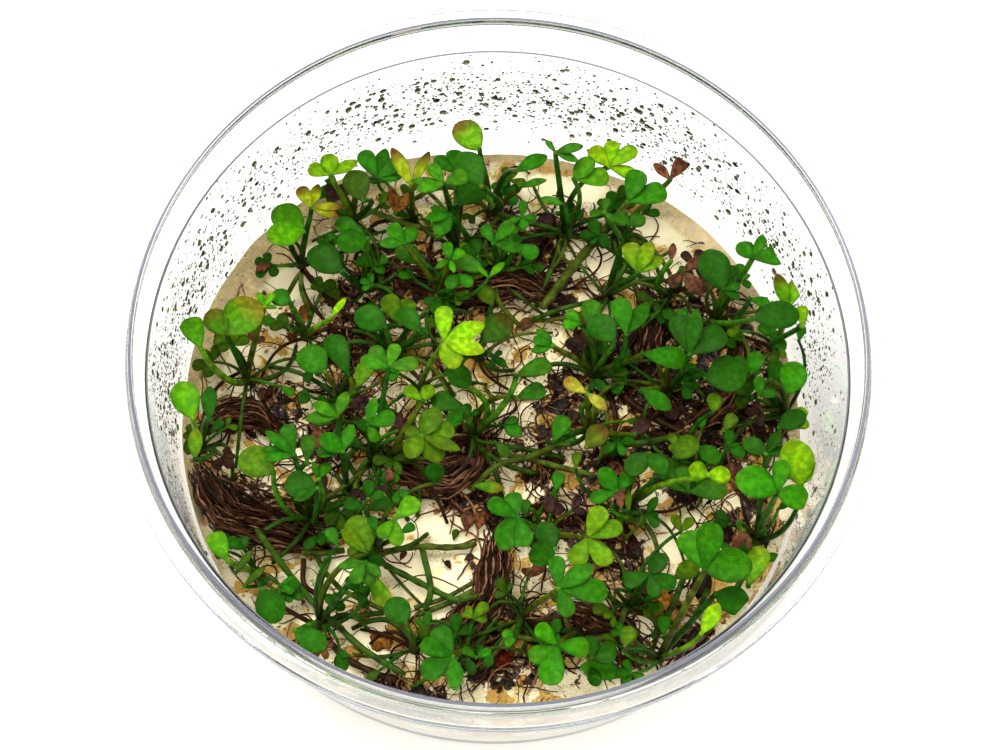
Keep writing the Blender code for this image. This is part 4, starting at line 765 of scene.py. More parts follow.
def buildCup():
    profile = [np.array([cup["middle"], cup["floorInner"]])]
    profile += roundedProfile(cup["corners"], cup["cornerSteps"])
    profile += [np.array([cup["baseRadius"], 0.0]), np.array([cup["middle"], 0.0])]
    startModelling()
    r0, z0 = profile[0]
    bpy.ops.mesh.primitive_circle_add(vertices=cup["steps"], radius=r0 * mm, location=(0, 0, z0 * mm))
    obj = bpy.context.object
    obj.name = "cup_shell"
    bpy.ops.object.mode_set(mode="EDIT")
    bpy.ops.mesh.select_all(action="SELECT")
    for (r0, z0), (r1, z1) in zip(profile, profile[1:]):
        bpy.ops.mesh.extrude_region_move(TRANSFORM_OT_translate={"value": (0, 0, (z1 - z0) * mm)})
        bpy.ops.transform.resize(value=(r1 / r0, r1 / r0, 1))
    bpy.ops.mesh.edge_face_add()
    bpy.ops.object.mode_set(mode="OBJECT")
    bpy.ops.object.transform_apply(location=True, rotation=True, scale=True)
    selectVerts(obj, lambda co: abs(co.z - cup["floorInner"] * mm) < 1e-6
                and math.hypot(co.x, co.y) < (cup["middle"] + 0.01) * mm)
    bpy.ops.mesh.edge_face_add()
    bpy.ops.mesh.select_all(action="SELECT")
    bpy.ops.mesh.normals_make_consistent(inside=False)
    bpy.ops.object.mode_set(mode="OBJECT")

    mat, tree, bsdf = newMaterial("clearPolystyrene", Roughness=cup["roughness"], IOR=cup["ior"],
                                  Transmission_Weight=1.0)
    bsdf.inputs["Base Color"].default_value = (1, 1, 1, 1)
    absorb = {"Color": hexColour(cup["tint"]), "Density": cup["tintDensity"]}
    tree.links.new(addNode(tree, "VolumeAbsorption", absorb), tree.nodes["Material Output"].inputs["Volume"])
    obj.data.materials.append(mat)
    # matt where the mould parts and at its sharp corners, with fine violet and grey lines painted round the
    # rim in place of the edge lines that refraction draws there
    for k, (name, colour, clear, inner, outer, low, high) in enumerate(cup["paintedEdgeLineRings"]):
        matt, _, _ = newMaterial(name, Base_Color=hexColour(colour), Roughness=cup["mattRoughness"],
                                 IOR=cup["ior"], Transmission_Weight=clear)
        obj.data.materials.append(matt)
        for face in obj.data.polygons:
            x, y, z = (value / mm for value in face.center)
            if inner < math.hypot(x, y) < outer and low < z < high:
                face.material_index = k + 1
    finishPiece(obj, ["cup"], angle=35)
    print("cup:", len(obj.data.polygons), "faces")


buildCup()

# gel: agar jelly, poured clear and amber, now cracked and crumbled by the roots, wet on top

gel = {
    "cells": 200, "edgeGap": -0.1, "slack": 0.05, "bottom": 1.75, "baseShrink": 1.8, "wallBand": 2.0,
    "plainBand": 0.4, "footLift": 0.8,
    "shardSize": 2.2, "shardHeight": 0.50, "crumbSize": 0.8, "crumbHeight": 0.20,
    # open patches of clean gel: plan x, y, half sizes
    "clearPatches": [
        (-6, -28, 5.6, 3.8), (-12, -24, 3.4, 2.9), (-19, -25, 3.6, 2.6), (-19, -29, 4.2, 2.3),
        (-2, -21, 5.1, 2.9), (-7, -19, 7.1, 2.1), (22, -33, 4.2, 3.4), (20, -41, 3.6, 1.7),
        (14, 24, 5.0, 3.2), (21, 22, 5.9, 3.5), (7, 35, 9.0, 2.3), (26, 29, 8.9, 2.6),
        (-29, 10, 2.9, 3.8), (-37, 3, 2.6, 4.6), (-30, -10, 3.7, 2.1), (-21, -34, 4.2, 2.0),
        (-15, -36, 3.3, 2.8), (-18, -39, 3.0, 1.7), (33, -12, 2.9, 2.1), (15, -4, 3.4, 1.8),
        (6, -13, 1.4, 1.5), (37, 4, 2.0, 1.5), (-37, -11, 2.6, 1.2), (-9, -38, 2.8, 1.1),
        (-9, 13, 1.7, 1.9), (17, -31, 3.6, 2.0), (29, -17, 4.3, 2.4), (26, -19, 2.8, 2.9),
        (-30, 19, 5.3, 4.8), (11, -23, 1.4, 1.5)],
    # ground dark with roots and partly with painted shade under the plants
    "rootAndShadePatches": [
        (-37, -17, 6.8, 3.8), (-27, -19, 7.8, 4.1), (-33, -3, 5.7, 4.6), (-19, 15, 7.0, 5.4),
        (-16, 21, 5.9, 4.5), (3, 23, 6.2, 5.8), (-1, 27, 3.0, 4.8), (6, 27, 3.3, 4.2),
        (-5, 16, 4.4, 3.5), (-7, -10, 7.1, 4.2), (-4, -6, 5.0, 3.8), (1, -23, 3.4, 7.0),
        (2, -32, 4.2, 3.4), (-4, -34, 4.2, 2.6), (3, -38, 6.9, 3.7), (11, -34, 7.7, 4.0),
        (22, 13, 3.2, 6.3), (29, 12, 8.0, 7.8), (28, 1, 8.7, 6.1), (21, 4, 5.8, 4.6),
        (15, 10, 3.8, 5.3), (9, 2, 3.5, 4.6), (16, -9, 4.3, 3.9), (8, 17, 2.9, 3.5),
        (20, -34, 3.1, 3.7), (7, -8, 3.4, 6.0), (38, 4, 5.2, 9.2), (21, -5, 7.2, 3.0),
        (28, -9, 5.1, 4.5), (33, -3, 5.8, 4.0), (15, -19, 4.2, 4.4), (7, -17, 4.0, 4.4),
        (-1, -16, 5.7, 3.3), (-21, -1, 3.2, 3.7), (-25, -8, 3.7, 3.3), (-23, 7, 5.2, 3.7),
        (19, -22, 4.0, 3.8), (24, -30, 4.8, 3.7), (-11, -43, 8.3, 1.4), (36, -15, 4.3, 5.9),
        (29, -33, 3.6, 2.9)],
    "sideLevel": 6.0, "sideRooted": 0.3, "sideDark": 0.2,  # the sides of the block, below this height
    # the band that has dried away from the wall: least width, bulges (width, azimuth, spread), where it is
    "dryWidth": 1.2, "dryBulges": [(4.6, 140, 26), (2.4, 38, 34)], "dryMiddle": 107.5, "dryHalf": 125,
    "cream": "#fff1c4", "sand": "#f3d98c", "gold": "#d3a44c", "brown": "#5c3212", "dark": "#140903",
    # the jelly's emission strength below is a painted glow, not a lamp
    "line": "#3e250d", "tan": "#c6b084", "paintedGlowStrength": 0.25, "roughness": 0.13, "ior": 1.34,
    "shardCell": 2.6, "warpSize": 2.2, "warpReach": 2.4, "gritSize": 0.45, "cloudSize": 6.0, "stainSize": 1.5,
    "sandLevels": (0.50, 0.86), "goldLevels": (0.80, 0.92), "brownLevels": (0.79, 0.83),
    "blackLevels": (0.84, 0.90), "streakLevels": (0.30, 0.95), "relief": 0.25,
    # cracks, long and short: size of the pattern, width of a line, levels between which roots bring them out
    "cracks": [(2.1, 0.0065, 0.50, 0.95), (0.882, 0.008, 1.15, 1.50)], "crackStep": 0.055,
}


def patchLevels(patches, spots):  # 1 inside a patch, 0 outside, with a ragged edge; spots on the plan
    spots = np.asarray(spots, float).reshape(-1, 2)
    ragged = np.array([noise.noise(Vector((x * 0.45, y * 0.45, 2.0))) + 0.5 * noise.noise(Vector((x, y, 7.0)))
                       for x, y in spots])
    level = np.zeros(len(spots))
    for px, py, rx, ry in patches:
        d = np.hypot((spots[:, 0] - px) / rx, (spots[:, 1] - py) / ry) + 0.38 * ragged
        level = np.maximum(level, 1.0 - np.clip((d - 0.78) / 0.40, 0, 1))
    return level * level * (3 - 2 * level)


def rootedness(x, y):  # 0 on clean gel, 1 where roots have gone through it; x, y on the plan
    return 1.0 - patchLevels(gel["clearPatches"], (x, y))[0]


def planOf(p):  # where a real point shows on the plan
    k = (p[2] - layout["planZ"]) / (layout["eyeZ"] - layout["planZ"])
    return p[0] / (1 - k), (p[1] - layout["eyeY"] * k) / (1 - k)


def gelRelief(x, y, rooted):  # broken slabs with crumbs between them
    spot = Vector((x / gel["shardSize"], y / gel["shardSize"], 0.0))
    spot += Vector((noise.noise(spot * 1.7), noise.noise(spot * 1.7 + Vector((9, 4, 2))), 0)) * 0.5
    near, points = noise.voronoi(spot)
    slab = 0.5 * math.sin(points[0].x * 7.3 + points[0].y * 3.1) * gel["shardHeight"]
    ridge = min(1.0, (near[1] - near[0]) * 3.0)
    crumb = noise.noise(Vector((x / gel["crumbSize"], y / gel["crumbSize"], 5.0))) * gel["crumbHeight"]
    return (slab - (1.0 - ridge) * 0.25) * (0.25 + 0.75 * rooted) + crumb * (0.3 + rooted)


def buildGel():
    startModelling()
    reach = wallRadius(layout["gelLevel"]) - gel["edgeGap"]
    bpy.ops.mesh.primitive_grid_add(x_subdivisions=gel["cells"], y_subdivisions=gel["cells"],
                                    size=2 * reach * mm, location=(0, 0, 0))
    obj = bpy.context.object
    obj.name = "gel_bed"
    cell = 2 * reach / gel["cells"]
    selectVerts(obj, lambda co: math.hypot(co.x, co.y) > (reach - 0.45 * cell) * mm)
    bpy.ops.mesh.delete(type="VERT")
    bpy.ops.mesh.select_all(action="SELECT")
    bpy.ops.mesh.region_to_loop()
    bpy.ops.object.mode_set(mode="OBJECT")

    me = obj.data
    for vert in me.vertices:
        if vert.select:  # the border of the cut grid is drawn out to the wall
            r = math.hypot(vert.co.x, vert.co.y)
            vert.co.x *= reach * mm / r
            vert.co.y *= reach * mm / r
    spots = [planOf((v.co.x / mm, v.co.y / mm, gelHeight(v.co.x / mm, v.co.y / mm))) for v in me.vertices]
    rough = 1.0 - patchLevels(gel["clearPatches"], spots)
    for vert, rooted in zip(me.vertices, rough):
        x, y = vert.co.x / mm, vert.co.y / mm
        z = gelHeight(x, y)
        r = math.hypot(x, y)
        if r > reach - gel["wallBand"]:
            near = (r - reach + gel["wallBand"]) / gel["wallBand"]
            k = 1 + (wallRadius(z) - gel["edgeGap"] - gel["slack"] - reach) / reach * near
            x, y = x * k, y * k
        if r < reach - gel["plainBand"]:
            z += gelRelief(x, y, rooted)
        vert.co = Vector((x, y, z)) * mm

    # the wall of the gel block, then its foot and its flat bottom
    lowReach = layout["innerLow"] - gel["edgeGap"] - gel["slack"]
    footHeight = layout["lowHeight"] + gel["footLift"]
    bpy.ops.object.mode_set(mode="EDIT")
    bpy.ops.mesh.extrude_region_move(TRANSFORM_OT_translate={"value": (0, 0, -1.5 * mm)})
    bpy.ops.object.mode_set(mode="OBJECT")
    for vert in me.vertices:
        if vert.select:
            k = lowReach * mm / math.hypot(vert.co.x, vert.co.y)
            vert.co = Vector((vert.co.x * k, vert.co.y * k, footHeight * mm))
    bpy.ops.object.mode_set(mode="EDIT")
    down = (gel["bottom"] - footHeight) * mm
    foot = (layout["innerLow"] - gel["baseShrink"]) / lowReach
    bpy.ops.mesh.extrude_region_move(TRANSFORM_OT_translate={"value": (0, 0, down)})
    bpy.ops.transform.resize(value=(foot, foot, 1), center_override=(0, 0, 0))
    bpy.ops.mesh.edge_face_add()
    bpy.ops.mesh.select_all(action="SELECT")
    bpy.ops.mesh.normals_make_consistent(inside=False)
    bpy.ops.object.mode_set(mode="OBJECT")

    # red: gone through by roots, green: dark with them and with painted shade, blue: the dry band that has
    # shrunk from the wall
    ground = np.zeros((len(me.vertices), 4), dtype=np.float32)
    places = np.array([vert.co / mm for vert in me.vertices])
    spots = [planOf(p) for p in places]
    top = places[:, 2] > gel["sideLevel"]
    ground[:, 0] = np.where(top, 1.0 - patchLevels(gel["clearPatches"], spots), gel["sideRooted"])
    ground[:, 1] = np.where(top, patchLevels(gel["rootAndShadePatches"], spots), gel["sideDark"])
    radius = np.hypot(places[:, 0], places[:, 1])
    turn = np.degrees(np.arctan2(places[:, 1], places[:, 0])) % 360
    width = gel["dryWidth"]
    for wide, middle, spread in gel["dryBulges"]:
        width = width + wide * np.exp(-((turn - middle) / spread) ** 2)
    away = np.abs((turn - gel["dryMiddle"] + 180) % 360 - 180)
    band = np.clip((radius - (wallRadius(12.0) - width)) / 0.7, 0, 1)
    ground[:, 2] = band * np.clip((gel["dryHalf"] - away) / 30, 0, 1)
    me.color_attributes.new("ground", "FLOAT_COLOR", "POINT").data.foreach_set("color", ground.ravel())
    obj.data.materials.append(gelMaterial())
    finishPiece(obj, ["agar_gel"], angle=50)
    print("gel:", len(obj.data.polygons), "faces")


def gelMaterial():
    # wet, so it flashes at each break
    mat, tree, bsdf = newMaterial("agarJelly", Roughness=gel["roughness"], IOR=gel["ior"])
    cream, sand, gold, tan = (hexColour(gel[name]) for name in ("cream", "sand", "gold", "tan"))
    coords = addNode(tree, "TexCoord", out=3)
    rooted = addNode(tree, "SeparateColor", {0: addNode(tree, "Attribute", attribute_name="ground")})
    dark, wall = rooted.node.outputs[1], rooted.node.outputs[2]
    push = {"Vector": coords, "Scale": 1.0 / (gel["warpSize"] * mm), "Detail": 4.0}
    warp = {0: addNode(tree, "TexNoise", push, out=1), 1: (gel["warpReach"] * mm,) * 3, 2: coords}
    warped = addNode(tree, "VectorMath", warp, **multiplyAdd)
    fine = {"Vector": coords, "Scale": 1.0 / (gel["gritSize"] * mm), "Detail": 4.0, "Roughness": 0.7}
    grit = addNode(tree, "TexNoise", fine)
    broad = {"Vector": coords, "Scale": 1.0 / (gel["cloudSize"] * mm), "Detail": 3.0}
    cloud = addNode(tree, "TexNoise", broad)

    # slabs of jelly, each thicker or thinner than the next, so cream, sand or gold
    cells = {"Vector": warped, "Scale": 1.0 / (gel["shardCell"] * mm)}
    slab = addNode(tree, "SeparateColor", {0: addNode(tree, "TexVoronoi", cells, out=1)})
    slab = addNode(tree, "Math", {0: grit, 1: 0.5, 2: slab}, **multiplyAdd)
    browned = addNode(tree, "Math", {0: rooted, 1: 0.45, 2: -0.55}, **multiplyAdd)
    slab = addNode(tree, "Math", {0: slab, 1: browned}, operation="ADD")
    low, high = gel["sandLevels"]
    sandy = addNode(tree, "MapRange", {0: slab, 1: low, 2: high}, **smoothStep)
    colour = addNode(tree, "Mix", {0: sandy, 6: cream, 7: sand}, **mixed)
    low, high = gel["goldLevels"]
    golden = addNode(tree, "MapRange", {0: slab, 1: low, 2: high}, **smoothStep)
    colour = addNode(tree, "Mix", {0: golden, 6: colour, 7: gold}, **mixed)

    # cracks drawn like a map's contours, crowded where the roots are
    lines = 0.0
    crowded = addNode(tree, "Math", {0: cloud, 1: rooted}, operation="ADD")
    for size, width, low, high in gel["cracks"]:
        curl = {"Vector": coords, "Scale": 1.0 / (size * mm), "Detail": 2.5, "Distortion": 1.2}
        curl = addNode(tree, "TexNoise", curl)
        curl = addNode(tree, "Math", {0: curl, 1: gel["crackStep"]}, operation="PINGPONG")
        curl = addNode(tree, "MapRange", {0: curl, 1: 0.0, 2: width, 3: 1.0, 4: 0.0})
        where = addNode(tree, "MapRange", {0: crowded, 1: low, 2: high})
        curl = addNode(tree, "Math", {0: curl, 1: where}, operation="MULTIPLY")
        lines = addNode(tree, "Math", {0: lines, 1: curl}, operation="MAXIMUM")
    crack = hexColour(gel["line"])
    colour = addNode(tree, "Mix", {0: lines, 6: colour, 7: crack}, **mixed)

    # brown and black stains where roots have matted, the black partly painted shade under the plants: a noise
    # cut off at a level that falls as they thicken
    blots = {"Vector": warped, "Scale": 1.0 / (gel["stainSize"] * mm), "Detail": 5.0, "Roughness": 0.62}
    stain = addNode(tree, "TexNoise", blots)
    level = addNode(tree, "Math", {0: rooted, 1: 0.20, 2: stain}, **multiplyAdd)
    level = addNode(tree, "Math", {0: dark, 1: 0.18, 2: level}, **multiplyAdd)
    for levels, name in (("brownLevels", "brown"), ("blackLevels", "dark")):
        low, high = gel[levels]
        share = addNode(tree, "MapRange", {0: level, 1: low, 2: high}, **smoothStep)
        colour = addNode(tree, "Mix", {0: share, 6: colour, 7: hexColour(gel[name])}, **mixed)

    # the dry band at the wall: streaked and cracked, without the stains
    low, high = gel["streakLevels"]
    streak = addNode(tree, "MapRange", {0: stain, 1: low, 2: high}, **smoothStep)
    band = addNode(tree, "Mix", {0: streak, 6: tan, 7: sand}, **mixed)
    band = addNode(tree, "Mix", {0: lines, 6: band, 7: crack}, **mixed)
    colour = addNode(tree, "Mix", {0: wall, 6: colour, 7: band}, **mixed)
    tree.links.new(colour, bsdf.inputs["Base Color"])
    # painted glow: the jelly emits its own colour, standing in for light from below coming up through it,
    # least where it is full of roots
    paintedGlowColour = addNode(tree, "Math", {0: rooted, 1: -0.6, 2: 1.0}, **multiplyAdd)
    paintedGlowColour = addNode(tree, "Mix", {0: paintedGlowColour, 6: (0, 0, 0, 1), 7: colour}, **mixed)
    tree.links.new(paintedGlowColour, bsdf.inputs["Emission Color"])
    bsdf.inputs["Emission Strength"].default_value = gel["paintedGlowStrength"]
    height = addNode(tree, "Math", {0: slab, 1: rooted}, operation="MULTIPLY")
    height = addNode(tree, "Math", {0: lines, 1: -0.5, 2: height}, **multiplyAdd)
    height = addNode(tree, "Math", {0: stain, 1: 0.8, 2: height}, **multiplyAdd)
    bump = addNode(tree, "Bump", {"Height": height, "Strength": 0.55, "Distance": gel["relief"] * mm})
    tree.links.new(bump, bsdf.inputs["Normal"])
    return mat


buildGel()

# leaflets: thin fleshy blades with a waxy cuticle, fan-veined, with painted shade at the margin and the foot

blades = {
    # short leaflets have fewer faces, and their plates are left thicker
    "columns": 4, "plate": 0.06, "thickness": 0.34, "smallBelow": 3.3, "smallThickness": 0.6,
    # half width along the leaflet, from the stalk to the tip, for a length of 1 and a width of 1
    "fan": [(0.0, 0.05), (0.14, 0.17), (0.30, 0.315), (0.46, 0.42), (0.62, 0.485), (0.76, 0.50),
            (0.88, 0.435), (0.96, 0.295), (1.0, 0.10)],
    "round": [(0.0, 0.07), (0.10, 0.22), (0.24, 0.375), (0.40, 0.47), (0.56, 0.50), (0.72, 0.465),
              (0.86, 0.365), (0.95, 0.22), (1.0, 0.08)],
    "oval": [(0.0, 0.05), (0.12, 0.19), (0.28, 0.36), (0.44, 0.47), (0.58, 0.50), (0.72, 0.455),
             (0.86, 0.325), (0.95, 0.18), (1.0, 0.05)],
    "roundFrom": 0.71, "fanFrom": 0.52,  # width over length
    "veins": 15.0, "veinWander": 0.9, "veinDepth": 0.05, "mottle": 0.9, "wallGap": 0.55,
    "shadow": (0.50, 0.60, 0.42, 1), "veinTint": (0.42, 0.62, 0.05, 1),
    "roughness": 0.33, "ior": 1.42, "gloss": 0.10, "glossTint": (0.8, 1.0, 0.45, 1.0),
    "through": 0.12, "throughReach": (0.5, 1.0, 0.2), "throughScale": 0.0006,
}

tones = {  # colour of the blade and of its tip
    "mid": ("#23700a", "#30800c"), "bright": ("#2f8209", "#45970c"), "dark": ("#195809", "#206609"),
    "darkOlive": ("#33560a", "#40620b"), "darkLime": ("#457a0a", "#598c0c"),
    "lime": ("#80bb0c", "#93c60e"), "limeBright": ("#8cc60e", "#a2d013"),
    "limeGreen": ("#4f9a0b", "#63aa0e"), "limeTip": ("#6cae0d", "#7a5a18"),
    "yellowTip": ("#a0aa16", "#7a4c1c"), "yellowLime": ("#649a0f", "#8aa716"),
    "yellowOrange": ("#b3ab3a", "#ab8432"), "yellowGreenTip": ("#669a0e", "#79581a"),
    "olive": ("#4f760b", "#5f830e"), "oliveTip": ("#4d860b", "#8a7a18"), "oliveLime": ("#5f8f0c", "#73a010"),
    "oliveBrown": ("#4f5e0e", "#623e19"), "grey": ("#2f6e12", "#3d7d16"), "pale": ("#3c8312", "#4f9418"),
    "brown": ("#6e4426", "#58321b"), "orange": ("#a0681e", "#855018"), "dead": ("#3e2116", "#2d1710"),
    "stripedDark": ("#2c500c", "#4a3a12"),
}


def leafletShape(outline, smooth):  # a grid drawn in row by row to the outline, thickened, smoothed if large
    startModelling()
    rows, columns = len(outline) - 1, blades["columns"]
    bpy.ops.mesh.primitive_grid_add(x_subdivisions=rows, y_subdivisions=columns, size=1, location=(0, 0, 0))
    obj = bpy.context.object
    for i, (along, half) in enumerate(outline):
        start = i / rows - 0.5
        selectVerts(obj, lambda co: abs(co.x - start) < 0.25 / rows)
        bpy.ops.transform.resize(value=(1, max(half, 0.01) * 2, 1), center_override=(0, 0, 0))
        bpy.ops.object.mode_set(mode="OBJECT")
        for vert in obj.data.vertices:  # rows are placed after all are picked, and till then marked by height
            if vert.select:
                vert.co.z = along
    for vert in obj.data.vertices:
        vert.co.x, vert.co.z = vert.co.z, 0.0
    solid = obj.modifiers.new("Solidify", "SOLIDIFY")
    solid.thickness = blades["plate"]
    solid.offset = 0.0
    if smooth:
        soft = obj.modifiers.new("Subdivision", "SUBSURF")
        soft.levels = soft.render_levels = 1
    applyAll(obj)
    shape = shapeOf(obj)
    points = shape["points"]
    alongs, halves = [a for a, _ in outline], [h for _, h in outline]
    edge = np.abs(points[:, 1]) / np.maximum(np.interp(points[:, 0], alongs, halves), 0.03)
    shape["edge"] = np.clip(np.maximum(edge, points[:, 0] * 0.98), 0, 1)
    plate = blades["plate"] if smooth else blades["plate"] / blades["smallThickness"]
    shape["points"] = points / np.array([1, 1, plate])
    return shape


leafletShapes = {(name, smooth): leafletShape(blades[name], smooth)
                 for name in ("fan", "round", "oval") for smooth in (True, False)}


def tubeShape(sides, rings):  # a unit tube drawn up ring by ring, to be laid along any path
    startModelling()
    bpy.ops.mesh.primitive_circle_add(vertices=sides, radius=1, fill_type="NGON", location=(0, 0, 0))
    obj = bpy.context.object
    bpy.ops.object.mode_set(mode="EDIT")
    bpy.ops.mesh.select_all(action="SELECT")
    for _ in range(rings - 1):
        bpy.ops.mesh.extrude_region_move(TRANSFORM_OT_translate={"value": (0, 0, 1 / (rings - 1))})
    bpy.ops.mesh.select_all(action="SELECT")
    bpy.ops.mesh.normals_make_consistent(inside=False)
    bpy.ops.object.mode_set(mode="OBJECT")
    shape = shapeOf(obj)
    shape["rings"] = rings
    shape["ring"] = np.rint(shape["points"][:, 2] * (rings - 1)).astype(int)
    return shape


stalkShape = tubeShape(6, 14)
strandShape = tubeShape(4, 16)
threadShape = tubeShape(3, 16)


def alongPath(shape, path, radii):  # the tube's points, carried along a path with no twist
    path = np.array(path)
    tangents = np.gradient(path, axis=0)
    tangents /= np.linalg.norm(tangents, axis=1)[:, None] + 1e-9
    side = np.cross(tangents[0], (0.3, 0.1, 1.0) if abs(tangents[0][2]) < 0.9 else (0.0, 1.0, 0.2))
    sides = []
    for tangent in tangents:
        side = side - tangent * side.dot(tangent)
        side = side / (np.linalg.norm(side) + 1e-9)
        sides.append(side)
    sides = np.array(sides)
    ups = np.cross(tangents, sides)
    ring, unit = shape["ring"], shape["points"]
    radii = np.broadcast_to(radii, len(path))[ring][:, None]
    return path[ring] + radii * (unit[:, :1] * sides[ring] + unit[:, 1:2] * ups[ring])


def roundShape(subdivisions, flat):  # a ball squashed to a bud, a crown or a lump
    startModelling()
    bpy.ops.mesh.primitive_ico_sphere_add(subdivisions=subdivisions, radius=1, location=(0, 0, 0))
    bpy.ops.object.mode_set(mode="EDIT")
    bpy.ops.transform.resize(value=(1, 1, flat))
    bpy.ops.object.mode_set(mode="OBJECT")
    return shapeOf(bpy.context.object)


budShape = roundShape(2, 0.85)


def toneArray(name, amount, chance, edge):  # blade colour to tip colour, one leaflet a little unlike the next
    base, tip = (np.array(hexColour(code)) for code in tones[name])
    amount = np.clip((amount - 0.45) / 0.5, 0, 1)[:, None]
    amount = amount * amount * (3 - 2 * amount)
    light = 1.04 + 0.54 * (chance.random() - 0.5)
    warm = 1.05 + 0.26 * (chance.random() - 0.5)
    tone = (base * (1 - amount) + tip * amount) * np.array([light * warm, light, light / warm, 1.0])
    tone[:, 3] = edge
    return tone


def leafletPoints(shape, hub, leaf, axes, chance, thickness):
    along, across, up = axes
    _, length, width = leaf
    u, v, t = shape["points"][:, 0], shape["points"][:, 1], shape["points"][:, 2]
    lean = chance.uniform(-0.10, 0.10)  # one side of a leaflet is a little fuller, and its tip leans that way
    v = v * (1 + lean * np.sign(v)) + lean * 0.35 * u * u
    roll = math.radians(chance.uniform(-9, 9))
    dish = layout["bladeDish"] * v * v * width * 1.15 - layout["bladeDroop"] * length * u * u
    fold = 0.05 * width * (1 - np.abs(v) * 2) * np.sin(u * math.pi)  # a faint crease along the middle
    phase = chance.random() * 6.3
    wave = 0.045 * width * np.sin(u * 5.0 + phase) * (2 * v) ** 3 + math.tan(roll) * v * width
    thick = thickness * (0.55 + 0.45 * (1 - u)) * t
    lift = (dish - fold * 0.6 + wave + thick)[:, None]
    return hub + along * (u * length)[:, None] + across * (v * width)[:, None] + up * lift


def leafletFor(leaf):  # the outline that fits a leaflet's length and width
    ratio = leaf[2] / leaf[1]
    kind = "round" if ratio > blades["roundFrom"] else ("fan" if ratio > blades["fanFrom"] else "oval")
    return leafletShapes[kind, leaf[1] > blades["smallBelow"]]


def keepInside(points, margin):  # draws points that lie outside the cup's wall in towards its middle
    r = np.hypot(points[:, 0], points[:, 1])
    k = np.clip((points[:, 2] - layout["lowHeight"]) / (layout["ledgeHeight"] - layout["lowHeight"]), 0, 1)
    limit = layout["innerLow"] + (layout["innerLedge"] - layout["innerLow"]) * k - margin
    shrink = np.minimum(1.0, limit / np.maximum(r, 1e-6))
    points[:, 0] *= shrink
    points[:, 1] *= shrink
    return points


stalks = {"baseRadius": 0.50, "topRadius": 0.37, "hubSize": 0.41, "limeShare": 0.6,
          "green": "#225a0c", "light": "#3e7a10", "olive": "#52640e", "foot": "#2f380a", "lime": "#669c14"}


def stalkTone(tone, chance, rings):
    lime = tone.startswith("lime") and chance.random() < stalks["limeShare"]
    name = "lime" if lime else chance.choice(("green", "green", "light", "olive"))
    top, foot = np.array(hexColour(stalks[name])), np.array(hexColour(stalks["foot"]))
    t = np.clip(rings * 2.2, 0, 1)[:, None]
    return (foot * (1 - t) + top * t) * (0.9 + 0.25 * chance.random())


def frondCopies(crown, hub, rise, sway, tone, leaves, chance, stout=1.0):
    copies = []
    shape = stalkShape
    path = np.array(petiolePath(crown, hub - np.array([0, 0, 0.25]), rise, sway, shape["rings"]))
    radii = np.linspace(stalks["baseRadius"], stalks["topRadius"], shape["rings"])
    radii = radii * stout * chance.uniform(0.86, 1.12)
    rings = shape["points"][:, 2]
    copies.append((shape, alongPath(shape, path, radii), stalkTone(tone, chance, rings), 1))
    middle = budShape["points"] * stalks["hubSize"] * stout * np.array([1, 1, 0.75]) + hub
    copies.append((budShape, middle, stalkTone(tone, chance, np.ones(len(middle))), 1))
    dry = 2 if tone in ("dead", "brown", "orange") else 0
    for order, leaf in enumerate(sorted(leaves)):
        shape = leafletFor(leaf)
        axes = bladeFrame(leaf, order)
        points = leafletPoints(shape, hub, leaf, axes, chance, blades["thickness"])
        colour = toneArray(tone, shape["points"][:, 0], chance, shape["edge"])
        copies.append((shape, keepInside(points, blades["wallGap"]), colour, dry))
    return copies


